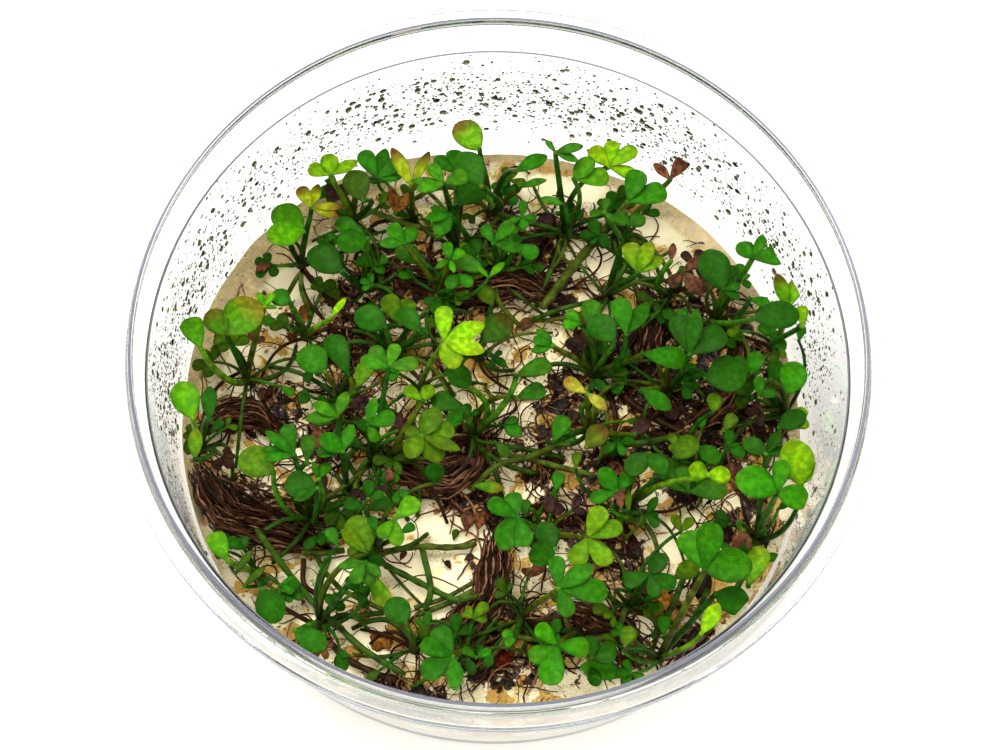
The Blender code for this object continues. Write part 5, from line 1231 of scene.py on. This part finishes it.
def leafMaterial():
    mat, tree, bsdf = newMaterial("waxyLeafBlade", Roughness=blades["roughness"], IOR=blades["ior"],
                                  Specular_IOR_Level=blades["gloss"], Specular_Tint=blades["glossTint"],
                                  Subsurface_Weight=blades["through"],
                                  Subsurface_Radius=blades["throughReach"],
                                  Subsurface_Scale=blades["throughScale"])
    tone = addNode(tree, "Attribute", attribute_name="tone")
    coords = addNode(tree, "TexCoord", out=3)
    # veins fan out from the stalk, in even steps across the blade
    across = addNode(tree, "SeparateXYZ", {0: addNode(tree, "UVMap", uv_map="UVMap")}, out=1)
    along = across.node.outputs[0]
    bent = {"Vector": coords, "Scale": 1.0 / (blades["veinWander"] * mm), "Detail": 2.0}
    fan = {0: across, 1: blades["veins"], 2: addNode(tree, "TexNoise", bent)}
    fan = {0: addNode(tree, "Math", fan, **multiplyAdd), 1: 0.5}
    fan = addNode(tree, "Math", fan, operation="PINGPONG")
    veins = addNode(tree, "MapRange", {0: fan, 1: 0.02, 2: 0.20, 3: 1.0, 4: 0.0}, **smoothStep)
    spots = {"Vector": coords, "Scale": 1.0 / (blades["mottle"] * mm), "Detail": 4.0}
    mottle = addNode(tree, "TexNoise", spots)
    darker = addNode(tree, "Mix", {0: 1.0, 6: tone, 7: blades["shadow"]}, **multiplied)
    patches = addNode(tree, "MapRange", {0: mottle, 1: 0.40, 2: 0.66}, **smoothStep)
    colour = addNode(tree, "Mix", {0: patches, 6: darker, 7: tone}, **mixed)
    paler = addNode(tree, "Mix", {0: 0.28, 6: tone, 7: blades["veinTint"]}, **mixed)
    vein = addNode(tree, "Math", {0: veins, 1: 0.22}, operation="MULTIPLY")
    colour = addNode(tree, "Mix", {0: vein, 6: colour, 7: paler}, **mixed)
    # painted shade: the blade is darkened towards its margin and at its foot and a little lightened in its
    # middle, as a domed leaf lit from above
    rim = {0: tone.node.outputs["Alpha"], 1: 0.45, 2: 1.0, 3: 1.06, 4: 0.66}
    foot = {0: along, 1: 0.0, 2: 0.42, 3: 0.72, 4: 1.0}
    for shade in (rim, foot):
        shade = addNode(tree, "MapRange", shade, **smoothStep)
        colour = addNode(tree, "Mix", {0: 1.0, 6: colour, 7: shade}, **multiplied)
    tree.links.new(colour, bsdf.inputs["Base Color"])
    height = addNode(tree, "Math", {0: veins, 1: -0.5, 2: mottle}, **multiplyAdd)
    bump = addNode(tree, "Bump", {"Height": height, "Strength": 0.4, "Distance": blades["veinDepth"] * mm})
    tree.links.new(bump, bsdf.inputs["Normal"])
    return mat


# skins in a piece's own tone with darker blotches: roughness, refraction, size of a blotch in mm, its shade,
# the levels of noise it lies between, depth of the relief in mm
skins = {
    "greenStalkSkin": (0.40, 1.42, 1.3, (0.42, 0.38, 0.30, 1), 0.36, 0.60, 0.05),
    "driedLeafBlade": (0.52, 1.45, 0.7, (0.35, 0.28, 0.25, 1), 0.62, 0.40, 0.08),
    "wetRootFibre": (0.30, 1.40, 0.8, (0.4, 0.33, 0.28, 1), 0.35, 0.62, 0.04),
    "brownedJelly": (0.22, 1.34, 0.6, (0.42, 0.34, 0.26, 1), 0.36, 0.58, 0.12),
}


def blotchedMaterial(name):
    roughness, ior, size, shadow, low, high, depth = skins[name]
    mat, tree, bsdf = newMaterial(name, Roughness=roughness, IOR=ior, Specular_IOR_Level=0.13)
    tone = addNode(tree, "Attribute", attribute_name="tone")
    spots = {"Vector": addNode(tree, "TexCoord", out=3), "Scale": 1.0 / (size * mm), "Detail": 4.0}
    blotch = addNode(tree, "TexNoise", spots)
    darker = addNode(tree, "Mix", {0: 1.0, 6: tone, 7: shadow}, **multiplied)
    light = addNode(tree, "MapRange", {0: blotch, 1: low, 2: high}, **smoothStep)
    colour = addNode(tree, "Mix", {0: light, 6: darker, 7: tone}, **mixed)
    tree.links.new(colour, bsdf.inputs["Base Color"])
    bump = addNode(tree, "Bump", {"Height": blotch, "Strength": 0.4, "Distance": depth * mm})
    tree.links.new(bump, bsdf.inputs["Normal"])
    return mat


# a leaf is a fleshy blade under a wax film: soft broad highlight, light comes through a little
plantMaterials = [leafMaterial(), blotchedMaterial("greenStalkSkin"), blotchedMaterial("driedLeafBlade")]

smallGrowth = {
    "perCrown": 4, "reach": (1.5, 7.0), "height": (1.6, 4.6), "leafLength": (1.5, 3.0), "seed": 7,
    "leafAngle": 62, "stout": 0.62, "stoutPlaced": 0.7,
    "tones": ("dark", "dark", "mid", "darkOlive", "dark", "olive", "mid", "dead", "brown"),
}


def nearestCrown(hub):  # a frond leans back from its crown, so a crown in front of it counts as nearer
    spread = []
    for crown, _ in plants:
        behind = 3.0 if hub[1] < crown[1] else 0.0
        spread.append(math.hypot(hub[0] - crown[0], (hub[1] - crown[1]) - 1.5) + behind)
    return int(np.argmin(spread))


def buildShoots():
    chance = random.Random(smallGrowth["seed"])
    taken = placedSpheres
    extra = {i: [] for i in range(len(plants))}
    for x, y, z, tone, leaves in smallFronds:
        i = nearestCrown(seen(x, y, z))
        found = placeFrond(plants[i][0], (x, y, z, leaves), taken, 0.0)
        if found is None:
            continue
        hub, rise, sway, path, samples = found
        extra[i].append((hub, rise, sway, tone, leaves, smallGrowth["stoutPlaced"]))
        taken = np.vstack([taken, np.array(ballsOn(path[6:], 0.35) + ballsOn(samples, 0.3))])
    for i, (crown, _) in enumerate(plants):
        for _ in range(smallGrowth["perCrown"]):
            turn = chance.uniform(0, 360)
            reach = chance.uniform(*smallGrowth["reach"])
            x = crown[0] + reach * math.cos(math.radians(turn))
            y = crown[1] + reach * math.sin(math.radians(turn))
            hub = insideWall(np.array([x, y, crown[2] + chance.uniform(*smallGrowth["height"])]), 2.5)
            count = chance.choice((1, 2, 2, 3, 4))
            leaves = []
            for k in range(count):
                length = chance.uniform(*smallGrowth["leafLength"])
                azimuth = turn + (k - (count - 1) / 2) * smallGrowth["leafAngle"] + chance.uniform(-9, 9)
                leaves.append((azimuth, length, length * chance.uniform(0.5, 0.75)))
            tone = chance.choice(smallGrowth["tones"])
            extra[i].append((hub, 0.55, chance.uniform(-1.5, 1.5), tone, leaves, smallGrowth["stout"]))
    for i, (crown, grown) in enumerate(plants):
        copies = []
        for hub, rise, sway, tone, leaves in grown:
            copies += frondCopies(crown, hub, rise, sway, tone, leaves, chance)
        for hub, rise, sway, tone, leaves, stout in extra[i]:
            copies += frondCopies(crown, hub, rise, sway, tone, leaves, chance, stout)
        foot = budShape["points"] * np.array([1.15, 1.15, 0.9]) * layout["crownRadius"] + crown
        copies.append((budShape, foot, np.array(hexColour(stalks["foot"])), 1))
        obj = joinCopies("shoot_plant_%02d" % (i + 1), copies, plantMaterials)
        finishPiece(obj, ["shoot_%02d" % (i + 1)], angle=0)
    print("shoots:", len(plants))


buildShoots()

# roots: brown fibres, each a thin wet thread, lying in bundles and loose over the gel

roots = {
    "seed": 21, "perBundle": 110, "bundleRadius": (0.10, 0.22),
    "loose": 360, "looseRadius": (0.06, 0.15), "looseLength": (5.0, 15.0), "looseReach": 43.0,
    "perPatch": 17, "patchRadius": (0.11, 0.24), "patchLength": (4.0, 11.0),
    "perCrown": 9, "crownRootRadius": 0.15, "crownRootLength": (3.0, 8.0), "turnBack": 43.6,
    "colours": ("#22120a", "#33190c", "#452614", "#5a3722", "#72492f", "#8c6143", "#a67a58", "#281509",
                "#4d2c18", "#3a2010"),
}


def rootCopy(shape, line, radius, chance):  # one root along a line, thinner at both ends, in a root's colour
    t = np.linspace(0, 1, shape["rings"])
    radii = radius * (0.25 + 0.75 * np.sin(np.pi * np.clip(t * 0.9 + 0.05, 0, 1)) ** 0.5)
    tone = np.array(hexColour(chance.choice(roots["colours"]))) * chance.uniform(0.7, 1.25)
    return shape, alongPath(shape, line, radii), tone, 0


def stationed(values, stations, at):  # each column of the values at one place between the stations
    return np.array([np.interp(at, stations, column) for column in values.T])


def buildRootBundles(rootSkin):
    chance = random.Random(roots["seed"])
    noise.seed_set(roots["seed"])  # noise_vector has a start of its own, which is otherwise new each run
    for i, (path, radii) in enumerate(matPaths):
        path, radii = np.array(path), np.array(radii)
        stations = np.linspace(0, 1, len(path))
        copies = []
        for _ in range(roots["perBundle"]):
            a = chance.uniform(-0.10, 0.45)
            b = chance.uniform(max(0.55, a + 0.3), 1.12)
            ts = np.linspace(a, b, strandShape["rings"])
            angle = chance.uniform(0, 2 * math.pi)
            depth = math.sqrt(chance.random())
            swirl = chance.uniform(-2.0, 2.0)
            wander = chance.uniform(0, 9)
            line = []
            for t in ts:
                k = min(max(t, 0.0), 1.0)
                centre = stationed(path, stations, k)
                w, h = stationed(radii, stations, k)
                ahead = stationed(path, stations, min(k + 0.05, 1))
                ahead = ahead - stationed(path, stations, max(k - 0.05, 0))
                ahead = ahead / (np.linalg.norm(ahead) + 1e-9)
                across = np.array([-ahead[1], ahead[0], 0.0])
                turn = angle + swirl * t
                p = centre + across * (w * depth * math.cos(turn))
                p = p + np.array([0, 0, h * depth * math.sin(turn)]) + ahead * ((t - k) * 12.0)
                shake = noise.noise_vector(Vector((p[0] * 0.35, p[1] * 0.35, wander))) * 0.9
                line.append(insideWall(p + np.array(shake) * np.array([1, 1, 0.4]), 0.5))
            line = np.array(line)
            line[:, 2] = np.maximum(line[:, 2], [gelHeight(p[0], p[1]) + 0.05 for p in line])
            copies.append(rootCopy(strandShape, line, chance.uniform(*roots["bundleRadius"]), chance))
        obj = joinCopies("root_bundle_%02d" % (i + 1), copies, [rootSkin])
        finishPiece(obj, ["root_mat_%02d" % (i + 1)], angle=0)
    print("root bundles:", len(matPaths))


def crawl(start, heading, length, chance, wander, lift):  # a thread that feels its way over the gel
    step = length / (strandShape["rings"] - 1)
    p = np.array([start[0], start[1]], float)
    line = []
    for k in range(strandShape["rings"]):
        line.append((p[0], p[1]))
        drift = noise.noise(Vector((p[0] * 0.22, p[1] * 0.22, wander))) * 1.1 * step
        heading += drift + chance.uniform(-0.25, 0.25)
        p = p + step * np.array([math.cos(heading), math.sin(heading)])
        r = math.hypot(*p)
        if r > roots["turnBack"]:
            p = p * roots["turnBack"] / r
            heading += 0.8
    out = []
    for k, (x, y) in enumerate(line):
        hump = lift * math.sin(math.pi * k / (len(line) - 1))
        out.append(insideWall(np.array([x, y, gelHeight(x, y) + 0.12 + hump]), 0.5))
    return np.array(out)


def buildLooseRoots(rootSkin):
    chance = random.Random(roots["seed"] + 1)
    copies = []
    while len(copies) < roots["loose"]:
        r, turn = roots["looseReach"] * math.sqrt(chance.random()), chance.uniform(0, 2 * math.pi)
        x, y = r * math.cos(turn), r * math.sin(turn)
        if chance.random() > 0.12 + 0.88 * rootedness(*planOf((x, y, gelHeight(x, y)))):
            continue
        line = crawl((x, y), chance.uniform(0, 6.3), chance.uniform(*roots["looseLength"]), chance,
                     chance.uniform(0, 40), chance.choice((0.1, 0.3, 0.8, 1.6)))
        copies.append(rootCopy(threadShape, line, chance.uniform(*roots["looseRadius"]), chance))
    for px, py, rx, ry in gel["rootAndShadePatches"]:  # strands that run side by side where the ground is dark
        heading = chance.uniform(0, math.pi) if abs(rx - ry) < 1.5 else (0.0 if rx > ry else math.pi / 2)
        wander = chance.uniform(0, 40)
        for _ in range(roots["perPatch"]):
            spotX, spotY = px + chance.uniform(-1, 1) * rx, py + chance.uniform(-1, 1) * ry
            line = crawl(onGround(spotX, spotY, 0.0, [gelTree]),
                         heading + chance.uniform(-0.5, 0.5) + math.pi * (chance.random() < 0.5),
                         chance.uniform(*roots["patchLength"]), chance, wander,
                         chance.choice((0.2, 0.5, 1.0, 1.8)))
            copies.append(rootCopy(threadShape, line, chance.uniform(*roots["patchRadius"]), chance))
    for crown, _ in plants:
        for _ in range(roots["perCrown"]):
            heading = chance.uniform(0, 6.3)
            length = chance.uniform(*roots["crownRootLength"])
            line = crawl(crown, heading, length, chance, chance.uniform(0, 40), 0.2)
            fall = np.linspace(1, 0, len(line)) ** 2.5
            line[:, 2] = line[:, 2] * (1 - fall) + crown[2] * fall
            copies.append(rootCopy(threadShape, line, roots["crownRootRadius"], chance))
    half = len(copies) // 2
    for k, part in enumerate((copies[:half], copies[half:])):
        obj = joinCopies("loose_roots_%02d" % (k + 1), part, [rootSkin])
        finishPiece(obj, [], angle=0)
    print("loose roots:", len(copies))


rootSkin = blotchedMaterial("wetRootFibre")  # dark brown, shining along its length
buildRootBundles(rootSkin)
buildLooseRoots(rootSkin)

# creeping stems and the bare stalks that lie between the plants

creepers = {
    "seed": 33, "rings": 30, "green": "#375a10", "olive": "#56681a", "brown": "#38200c",
    # lesser stalks with no leaf left, scattered: how many, how far they reach from a crown, height, radius
    "scattered": 240, "reach": (5.0, 14.0), "height": (0.8, 4.0), "radius": (0.26, 0.46), "within": 42,
    # stalks with no leaf left: plan stations, height above the gel, tone
    "bare": [
        ([(9.6, -5.2), (5, -7.6), (0.5, -9.3), (-2.7, -13.2)], 3.0, "olive"),
        ([(9.5, -12), (8.0, -14.6), (6.5, -17)], 3.0, "green"),
        ([(17, -5), (21.5, -4.2), (26, -3)], 2.4, "green"),
        ([(-25, -22), (-22.4, -21.8), (-20, -21)], 2.6, "green"),
        ([(-25.8, -24), (-23.0, -23.9), (-20, -23.3)], 1.6, "olive"),
        ([(-21.9, -24.5), (-22.8, -28), (-23.3, -31.5)], 2.6, "green"),
        ([(-24, -24), (-22.5, -26.5), (-20, -29)], 1.8, "green"),
        ([(-25.5, -25), (-25.2, -28.5), (-23.3, -30)], 1.2, "brown"),
        ([(-9, -22.3), (-7.4, -28), (-8, -31)], 2.4, "green"),
        ([(-9.5, -31), (-5.2, -29.2), (-1.2, -26.5)], 1.2, "olive"),
        ([(-9.0, -32), (-4.9, -30.0), (-0.9, -27.6)], 0.8, "olive"),
        ([(-20.4, -33.2), (-17, -32.6), (-13.8, -32)], 1.6, "green"),
        ([(-19.8, -29), (-16.8, -30.4), (-13.6, -31.6)], 1.4, "olive"),
        ([(2.2, -31.5), (0, -35), (-2.4, -38.6)], 2.2, "green"),
        ([(16, -33.6), (19, -32.2), (20, -29.2), (22, -25.3)], 3.0, "olive"),
        ([(27.5, -35), (29.2, -33.6), (31, -32)], 3.2, "brown"),
        ([(-22, 30), (-14, 27.5), (-9, 27)], 2.0, "olive"),
        ([(-27.8, 12), (-29.6, 16), (-30, 18.6), (-31.8, 14.6)], 5.0, "olive"),
        ([(24, -33), (26.5, -28.5), (28, -24)], 3.4, "green"),
        ([(26, -34.5), (29.5, -30), (31.5, -25.5)], 4.2, "green"),
        ([(34, -28), (36.5, -23), (38, -19)], 3.0, "green"),
    ],
}

longStemShape = tubeShape(8, creepers["rings"])


def stemCopy(shape, line, radii, name, chance):  # one stem along a line, in its colour a little varied
    tone = np.array(hexColour(creepers[name])) * chance.uniform(0.8, 1.2)
    return shape, alongPath(shape, line, radii), tone, 0


def spacedPath(points, count):  # evenly spaced points on a smooth curve
    fine = np.array(resample(points, 0.6))
    gone = np.concatenate([[0], np.cumsum(np.linalg.norm(np.diff(fine, axis=0), axis=1))])
    at = np.linspace(0, gone[-1], count)
    return np.stack([np.interp(at, gone, fine[:, axis]) for axis in range(3)], axis=1)


def buildCreepers():
    chance = random.Random(creepers["seed"])
    for i, (skin, radius, path) in enumerate(stemPaths):
        line = spacedPath(path, creepers["rings"])
        radii = radius * (1.0 + 0.10 * np.sin(np.arange(creepers["rings"]) * 1.3))
        radii[0] = radii[-1] = radius * 0.6
        name = "brown" if skin == "stem" else chance.choice(("green", "olive"))
        copies = [stemCopy(longStemShape, line, radii, name, chance)]
        obj = joinCopies("creeping_stem_%02d" % (i + 1), copies, [plantMaterials[1]])
        finishPiece(obj, ["runner_%02d" % (i + 1)], angle=0)

    copies = []
    for stations, height, name in creepers["bare"]:
        line = []
        for k, (x, y) in enumerate(stations):
            p = onGround(x, y, 0.0, [gelTree])
            z = p[2] + 0.6 + height * math.sin(math.pi * (0.15 + 0.7 * k / (len(stations) - 1)))
            line.append(insideWall(seen(x, y, z), 1.2))
        line = spacedPath(line, creepers["rings"])
        radii = np.full(creepers["rings"], chance.uniform(0.36, 0.5))
        copies.append(stemCopy(longStemShape, line, radii, name, chance))
    for _ in range(creepers["scattered"]):
        crown = chance.choice(plants)[0]
        turn, reach = chance.uniform(0, 6.3), chance.uniform(*creepers["reach"])
        end = np.array([crown[0] + reach * math.cos(turn), crown[1] + reach * math.sin(turn)])
        if math.hypot(*end) > creepers["within"]:
            continue
        rise = chance.uniform(*creepers["height"])
        side = chance.uniform(-2.5, 2.5)
        points = []
        for t in np.linspace(0, 1, 5):
            bow = math.sin(math.pi * t)
            x = crown[0] + (end[0] - crown[0]) * t - math.sin(turn) * side * bow
            y = crown[1] + (end[1] - crown[1]) * t + math.cos(turn) * side * bow
            points.append(insideWall(np.array([x, y, gelHeight(x, y) + 0.5 + rise * bow]), 1.2))
        line = spacedPath(points, stalkShape["rings"])
        radii = np.linspace(1.0, 0.8, stalkShape["rings"]) * chance.uniform(*creepers["radius"])
        name = chance.choice(("green", "green", "olive", "brown"))
        copies.append(stemCopy(stalkShape, line, radii, name, chance))
    obj = joinCopies("bare_stalks", copies, [plantMaterials[1]])
    finishPiece(obj, [], angle=0)
    print("creeping stems:", len(stemPaths), "bare stalks:", len(copies))


buildCreepers()

# dead leaflets fallen among the stems: plan x, y, azimuth, length, width, height above the gel, tone

fallen = [
    (-10.4, -12.4, 90, 4.0, 1.8, 2.5, "brown"), (-14.6, -12.6, 0, 3.4, 2.0, 1.5, "brown"),
    (-10.9, -13.6, 0, 3.0, 2.0, 1.2, "brown"), (-2.4, -12.4, 0, 4.5, 2.0, 3.0, "oliveTip"),
    (-3.0, -19.3, 90, 3.0, 2.0, 1.5, "brown"), (-1.3, -18.9, 80, 3.0, 2.0, 1.2, "brown"),
    (0.0, -27.5, 90, 2.0, 2.0, 1.5, "brown"), (2.3, -27.0, 60, 2.0, 1.8, 1.5, "brown"),
    (17.5, 2.8, 90, 2.6, 1.8, 1.8, "brown"), (10.4, -6.0, 85, 3.4, 2.0, 2.5, "brown"),
    (10.5, -2.4, 60, 2.6, 1.8, 1.5, "dead"), (5.7, 28.1, 90, 3.0, 2.4, 2.5, "dead"),
    (3.3, 25.4, 40, 2.4, 1.8, 1.2, "dead"), (10.5, 30.2, 120, 2.6, 1.6, 1.5, "brown"),
    (-29.2, 10.4, 70, 3.2, 2.2, 1.5, "orange"), (-12.0, -24.2, 60, 1.6, 1.0, 0.4, "brown"),
    (-4.8, -25.0, 120, 1.5, 1.0, 0.4, "dead"), (-3.0, -23.6, 30, 1.6, 1.1, 0.4, "dead"),
    (-4.7, -20.8, 80, 1.8, 1.1, 0.5, "darkOlive"), (33.0, -8.0, 20, 3.0, 2.2, 1.5, "brown"),
    (27.0, 1.0, 200, 3.0, 2.0, 1.2, "dead"), (24.0, 14.0, 80, 3.4, 2.0, 1.5, "brown"),
    (-32.0, -2.0, 140, 3.0, 1.8, 0.8, "brown"), (15.0, -24.0, 50, 3.0, 1.8, 1.2, "brown"),
    (34.0, -18.0, 110, 3.6, 1.8, 1.6, "dead"), (19.0, -9.0, 160, 2.8, 2.0, 1.6, "brown"),
    (2.0, 12.0, 30, 3.0, 1.8, 1.0, "brown"), (-18.0, 7.0, 110, 2.8, 1.6, 1.2, "brown"),
    (28.5, 19.5, 60, 3.6, 2.6, 1.5, "brown"), (31.0, 22.5, 20, 3.2, 2.0, 2.0, "brown"),
]


def buildFallen(seed=51, thickness=0.25):
    chance = random.Random(seed)
    copies = []
    for x, y, azimuth, length, width, height, tone in fallen:
        ground = onGround(x, y, 0.0, [gelTree])
        spot = seen(x, y, ground[2] + height)
        leaf = (azimuth, length, width)
        shape = leafletFor(leaf)
        axes = bladeFrame(leaf, chance.choice((0, 1)))
        points = leafletPoints(shape, spot, leaf, axes, chance, thickness)
        alongs = shape["points"][:, 0]
        curl = noise.noise(Vector((x, y, 3.0))) * 0.5
        points[:, 2] += curl * np.sin(alongs * 5.0)
        colour = toneArray(tone, alongs, chance, shape["edge"])
        copies.append((shape, keepInside(points, 0.6), colour, 0 if tone in ("oliveTip", "darkOlive") else 2))
    obj = joinCopies("fallen_leaflets", copies, plantMaterials)
    finishPiece(obj, [], angle=0)
    print("fallen leaflets:", len(copies))


buildFallen()

# lumps of old gel, browned through, and the crumbs between the roots: plan x, y, half sizes, colour

lumps = {
    "placed": [(-17.5, -38.2, 1.6, 1.1, "gold"), (-22.5, -34.9, 0.9, 0.8, "gold"),
               (-13.6, -36.2, 1.6, 1.4, "amber"), (-17.0, -32.3, 1.6, 1.2, "gold"),
               (-1.2, -30.8, 2.4, 0.9, "gold"), (6.1, -35.6, 1.2, 1.4, "gold"),
               (24.8, -27.8, 2.2, 2.2, "amber"), (-31.5, 11.0, 1.3, 1.1, "pale"),
               (3.3, -37.6, 1.5, 1.3, "rust"), (30.5, -25.0, 1.5, 1.9, "black"),
               (-29.0, 9.6, 1.2, 0.8, "gold"), (-27.4, 9.0, 0.9, 0.8, "brown"),
               (-30.2, 8.4, 0.8, 0.7, "brown"), (27.0, -29.6, 1.4, 1.0, "gold"),
               (-12.0, 24.0, 1.1, 0.8, "gold"), (17.0, -1.5, 1.2, 0.8, "amber"),
               (33.5, -10.4, 1.1, 0.9, "gold"), (-35.4, 2.0, 1.0, 0.8, "gold")],
    "seed": 90, "crumbs": 110, "crumbSize": (0.25, 0.65), "within": 42, "rough": 0.38,
    "colours": {"gold": "#c2924a", "amber": "#a8702a", "pale": "#e9d3a0", "brown": "#6b4020",
                "rust": "#6a2412", "black": "#241812"},
}


def buildLumps():
    chance = random.Random(lumps["seed"])
    big, little = roundShape(3, 0.75), roundShape(1, 0.7)
    places = [(big, x, y, rx, ry, name) for x, y, rx, ry, name in lumps["placed"]]
    while len(places) < len(lumps["placed"]) + lumps["crumbs"]:
        x, y = (chance.uniform(-lumps["within"], lumps["within"]) for _ in range(2))
        if math.hypot(x, y) < lumps["within"] and chance.random() < 0.2 + 0.8 * rootedness(x, y):
            size = chance.uniform(*lumps["crumbSize"])
            places.append((little, x, y, size, size * chance.uniform(0.6, 1.0),
                           chance.choice(("gold", "pale", "amber", "pale", "gold", "brown"))))
    copies = []
    for shape, x, y, rx, ry, name in places:
        spot = onGround(x, y, 0.0, [gelTree])
        unit = shape["points"]
        coarse = np.array([noise.noise(Vector(p * 1.6) + Vector((x, y, 0))) for p in unit])
        fine = np.array([noise.noise(Vector(p * 3.7) + Vector((y, x, 0))) for p in unit])
        rough = coarse + 0.5 * fine
        turn = chance.uniform(0, 6.3)
        points = unit * (1 + lumps["rough"] * rough)[:, None] * np.array([rx, ry, 0.8 * min(rx, ry)])
        if shape is little:
            points = points @ np.array(Matrix.Rotation(turn, 3, "Z")).T
        points = points + spot + np.array([0, 0, 0.35 * min(rx, ry)])
        tone = np.array(hexColour(lumps["colours"][name])) * (1 + 0.5 * rough)[:, None]
        copies.append((shape, keepInside(points, 0.5), tone, 0))
    # jelly gone brown: still glossy, darker in its hollows
    obj = joinCopies("gel_lumps", copies, [blotchedMaterial("brownedJelly")])
    finishPiece(obj, [], angle=0)
    print("gel lumps:", len(copies))


buildLumps()

# condensation: drops of water on the inner wall, some drawn long down the slope

water = {
    "seed": 77, "flatness": (0.30, 0.55), "stretch": (0.8, 1.4), "heights": (12, 37), "lift": 0.02,
    # name, count, sizes, tint (a dark grey-green, painted shade in place of the dark surroundings the clear
    # water refracts), material, sides: drops that have run together, those between them, fine mist
    "kinds": [("wall_drops", 540, (0.26, 0.58), "#7d8468", "waterDrop", 0),
              ("wall_droplets", 4300, (0.12, 0.26), "#7b8274", "waterDroplet", 6),
              ("wall_mist", 8000, (0.065, 0.12), "#6a6f68", "waterMist", 5)],
    "backBand": (25.5, 7.0), "sideBand": (24.0, 9.5), "leftShare": 0.85, "rightShare": 0.45,
}


def dropDensity(turn, z):  # how much of the wall is wet at an azimuth in degrees and a height
    back = max(0.0, math.sin(math.radians(turn)))
    band, wide = (math.exp(-((z - middle) / spread) ** 2)
                  for middle, spread in (water["backBand"], water["sideBand"]))
    left = water["leftShare"] if 150 < turn < 250 else 0.0
    right = water["rightShare"] if turn < 30 or turn > 318 else 0.0
    return max(band * (0.35 + 0.65 * back) * (back > 0.05), wide * left, wide * right)


def dropShape():  # the dome of a drop: a ball cut off flat at its middle
    startModelling()
    bpy.ops.mesh.primitive_ico_sphere_add(subdivisions=2, radius=1, location=(0, 0, 0))
    obj = bpy.context.object
    bpy.ops.object.mode_set(mode="EDIT")
    bpy.ops.mesh.select_all(action="SELECT")
    bpy.ops.mesh.bisect(plane_co=(0, 0, 0), plane_no=(0, 0, 1), use_fill=True, clear_inner=True)
    bpy.ops.mesh.select_all(action="SELECT")
    bpy.ops.mesh.normals_make_consistent(inside=False)
    bpy.ops.object.mode_set(mode="OBJECT")
    return shapeOf(obj)


def beadShape(sides):  # a small drop: a blunt cone with few sides
    startModelling()
    high = 0.75
    bpy.ops.mesh.primitive_cone_add(vertices=sides, radius1=1, radius2=0.6, depth=high,
                                    location=(0, 0, high / 2))
    bpy.ops.object.transform_apply(location=True, rotation=False, scale=False)
    return shapeOf(bpy.context.object)


# the clear water has a dark grey-green base colour: painted shade standing in for the dark surroundings seen
# through each drop
def waterMaterial(name, tint):
    return newMaterial(name, Base_Color=hexColour(tint), Roughness=0.02, IOR=1.33, Transmission_Weight=1.0)[0]


def buildDrops():
    chance = random.Random(water["seed"])
    outward, climb = layout["innerLedge"] - layout["innerLow"], layout["ledgeHeight"] - layout["lowHeight"]
    slope = Vector((outward, 0, climb)).normalized()
    for name, count, sizes, tint, matName, sides in water["kinds"]:
        shape = beadShape(sides) if sides else dropShape()
        unit = shape["points"]
        copies = []
        while len(copies) < count:
            turn, z = chance.uniform(0, 360), chance.uniform(*water["heights"])
            if name != "wall_mist" and not 5 < turn < 190 and chance.random() < 0.85:
                continue  # away from the back there is little but mist
            if chance.random() > dropDensity(turn, z):
                continue
            a = math.radians(turn)
            inward = Vector((-math.cos(a) * slope.z, -math.sin(a) * slope.z, slope.x))
            along = Vector((math.cos(a) * slope.x, math.sin(a) * slope.x, slope.z))
            side = along.cross(inward)
            size = sizes[0] + (sizes[1] - sizes[0]) * chance.random() ** 2.2
            long = size * chance.uniform(*water["stretch"])
            r = wallRadius(z) + cup["slack"] + water["lift"]
            centre = np.array([math.cos(a) * r, math.sin(a) * r, z])
            points = (centre + unit[:, :1] * np.array(side) * size + unit[:, 1:2] * np.array(along) * long
                      + unit[:, 2:3] * np.array(inward) * size * chance.uniform(*water["flatness"]))
            copies.append((shape, points, np.ones(4), 0))
        obj = joinCopies(name, copies, [waterMaterial(matName, tint)])
        finishPiece(obj, [], angle=0)
        print(name + ":", count)


buildDrops()
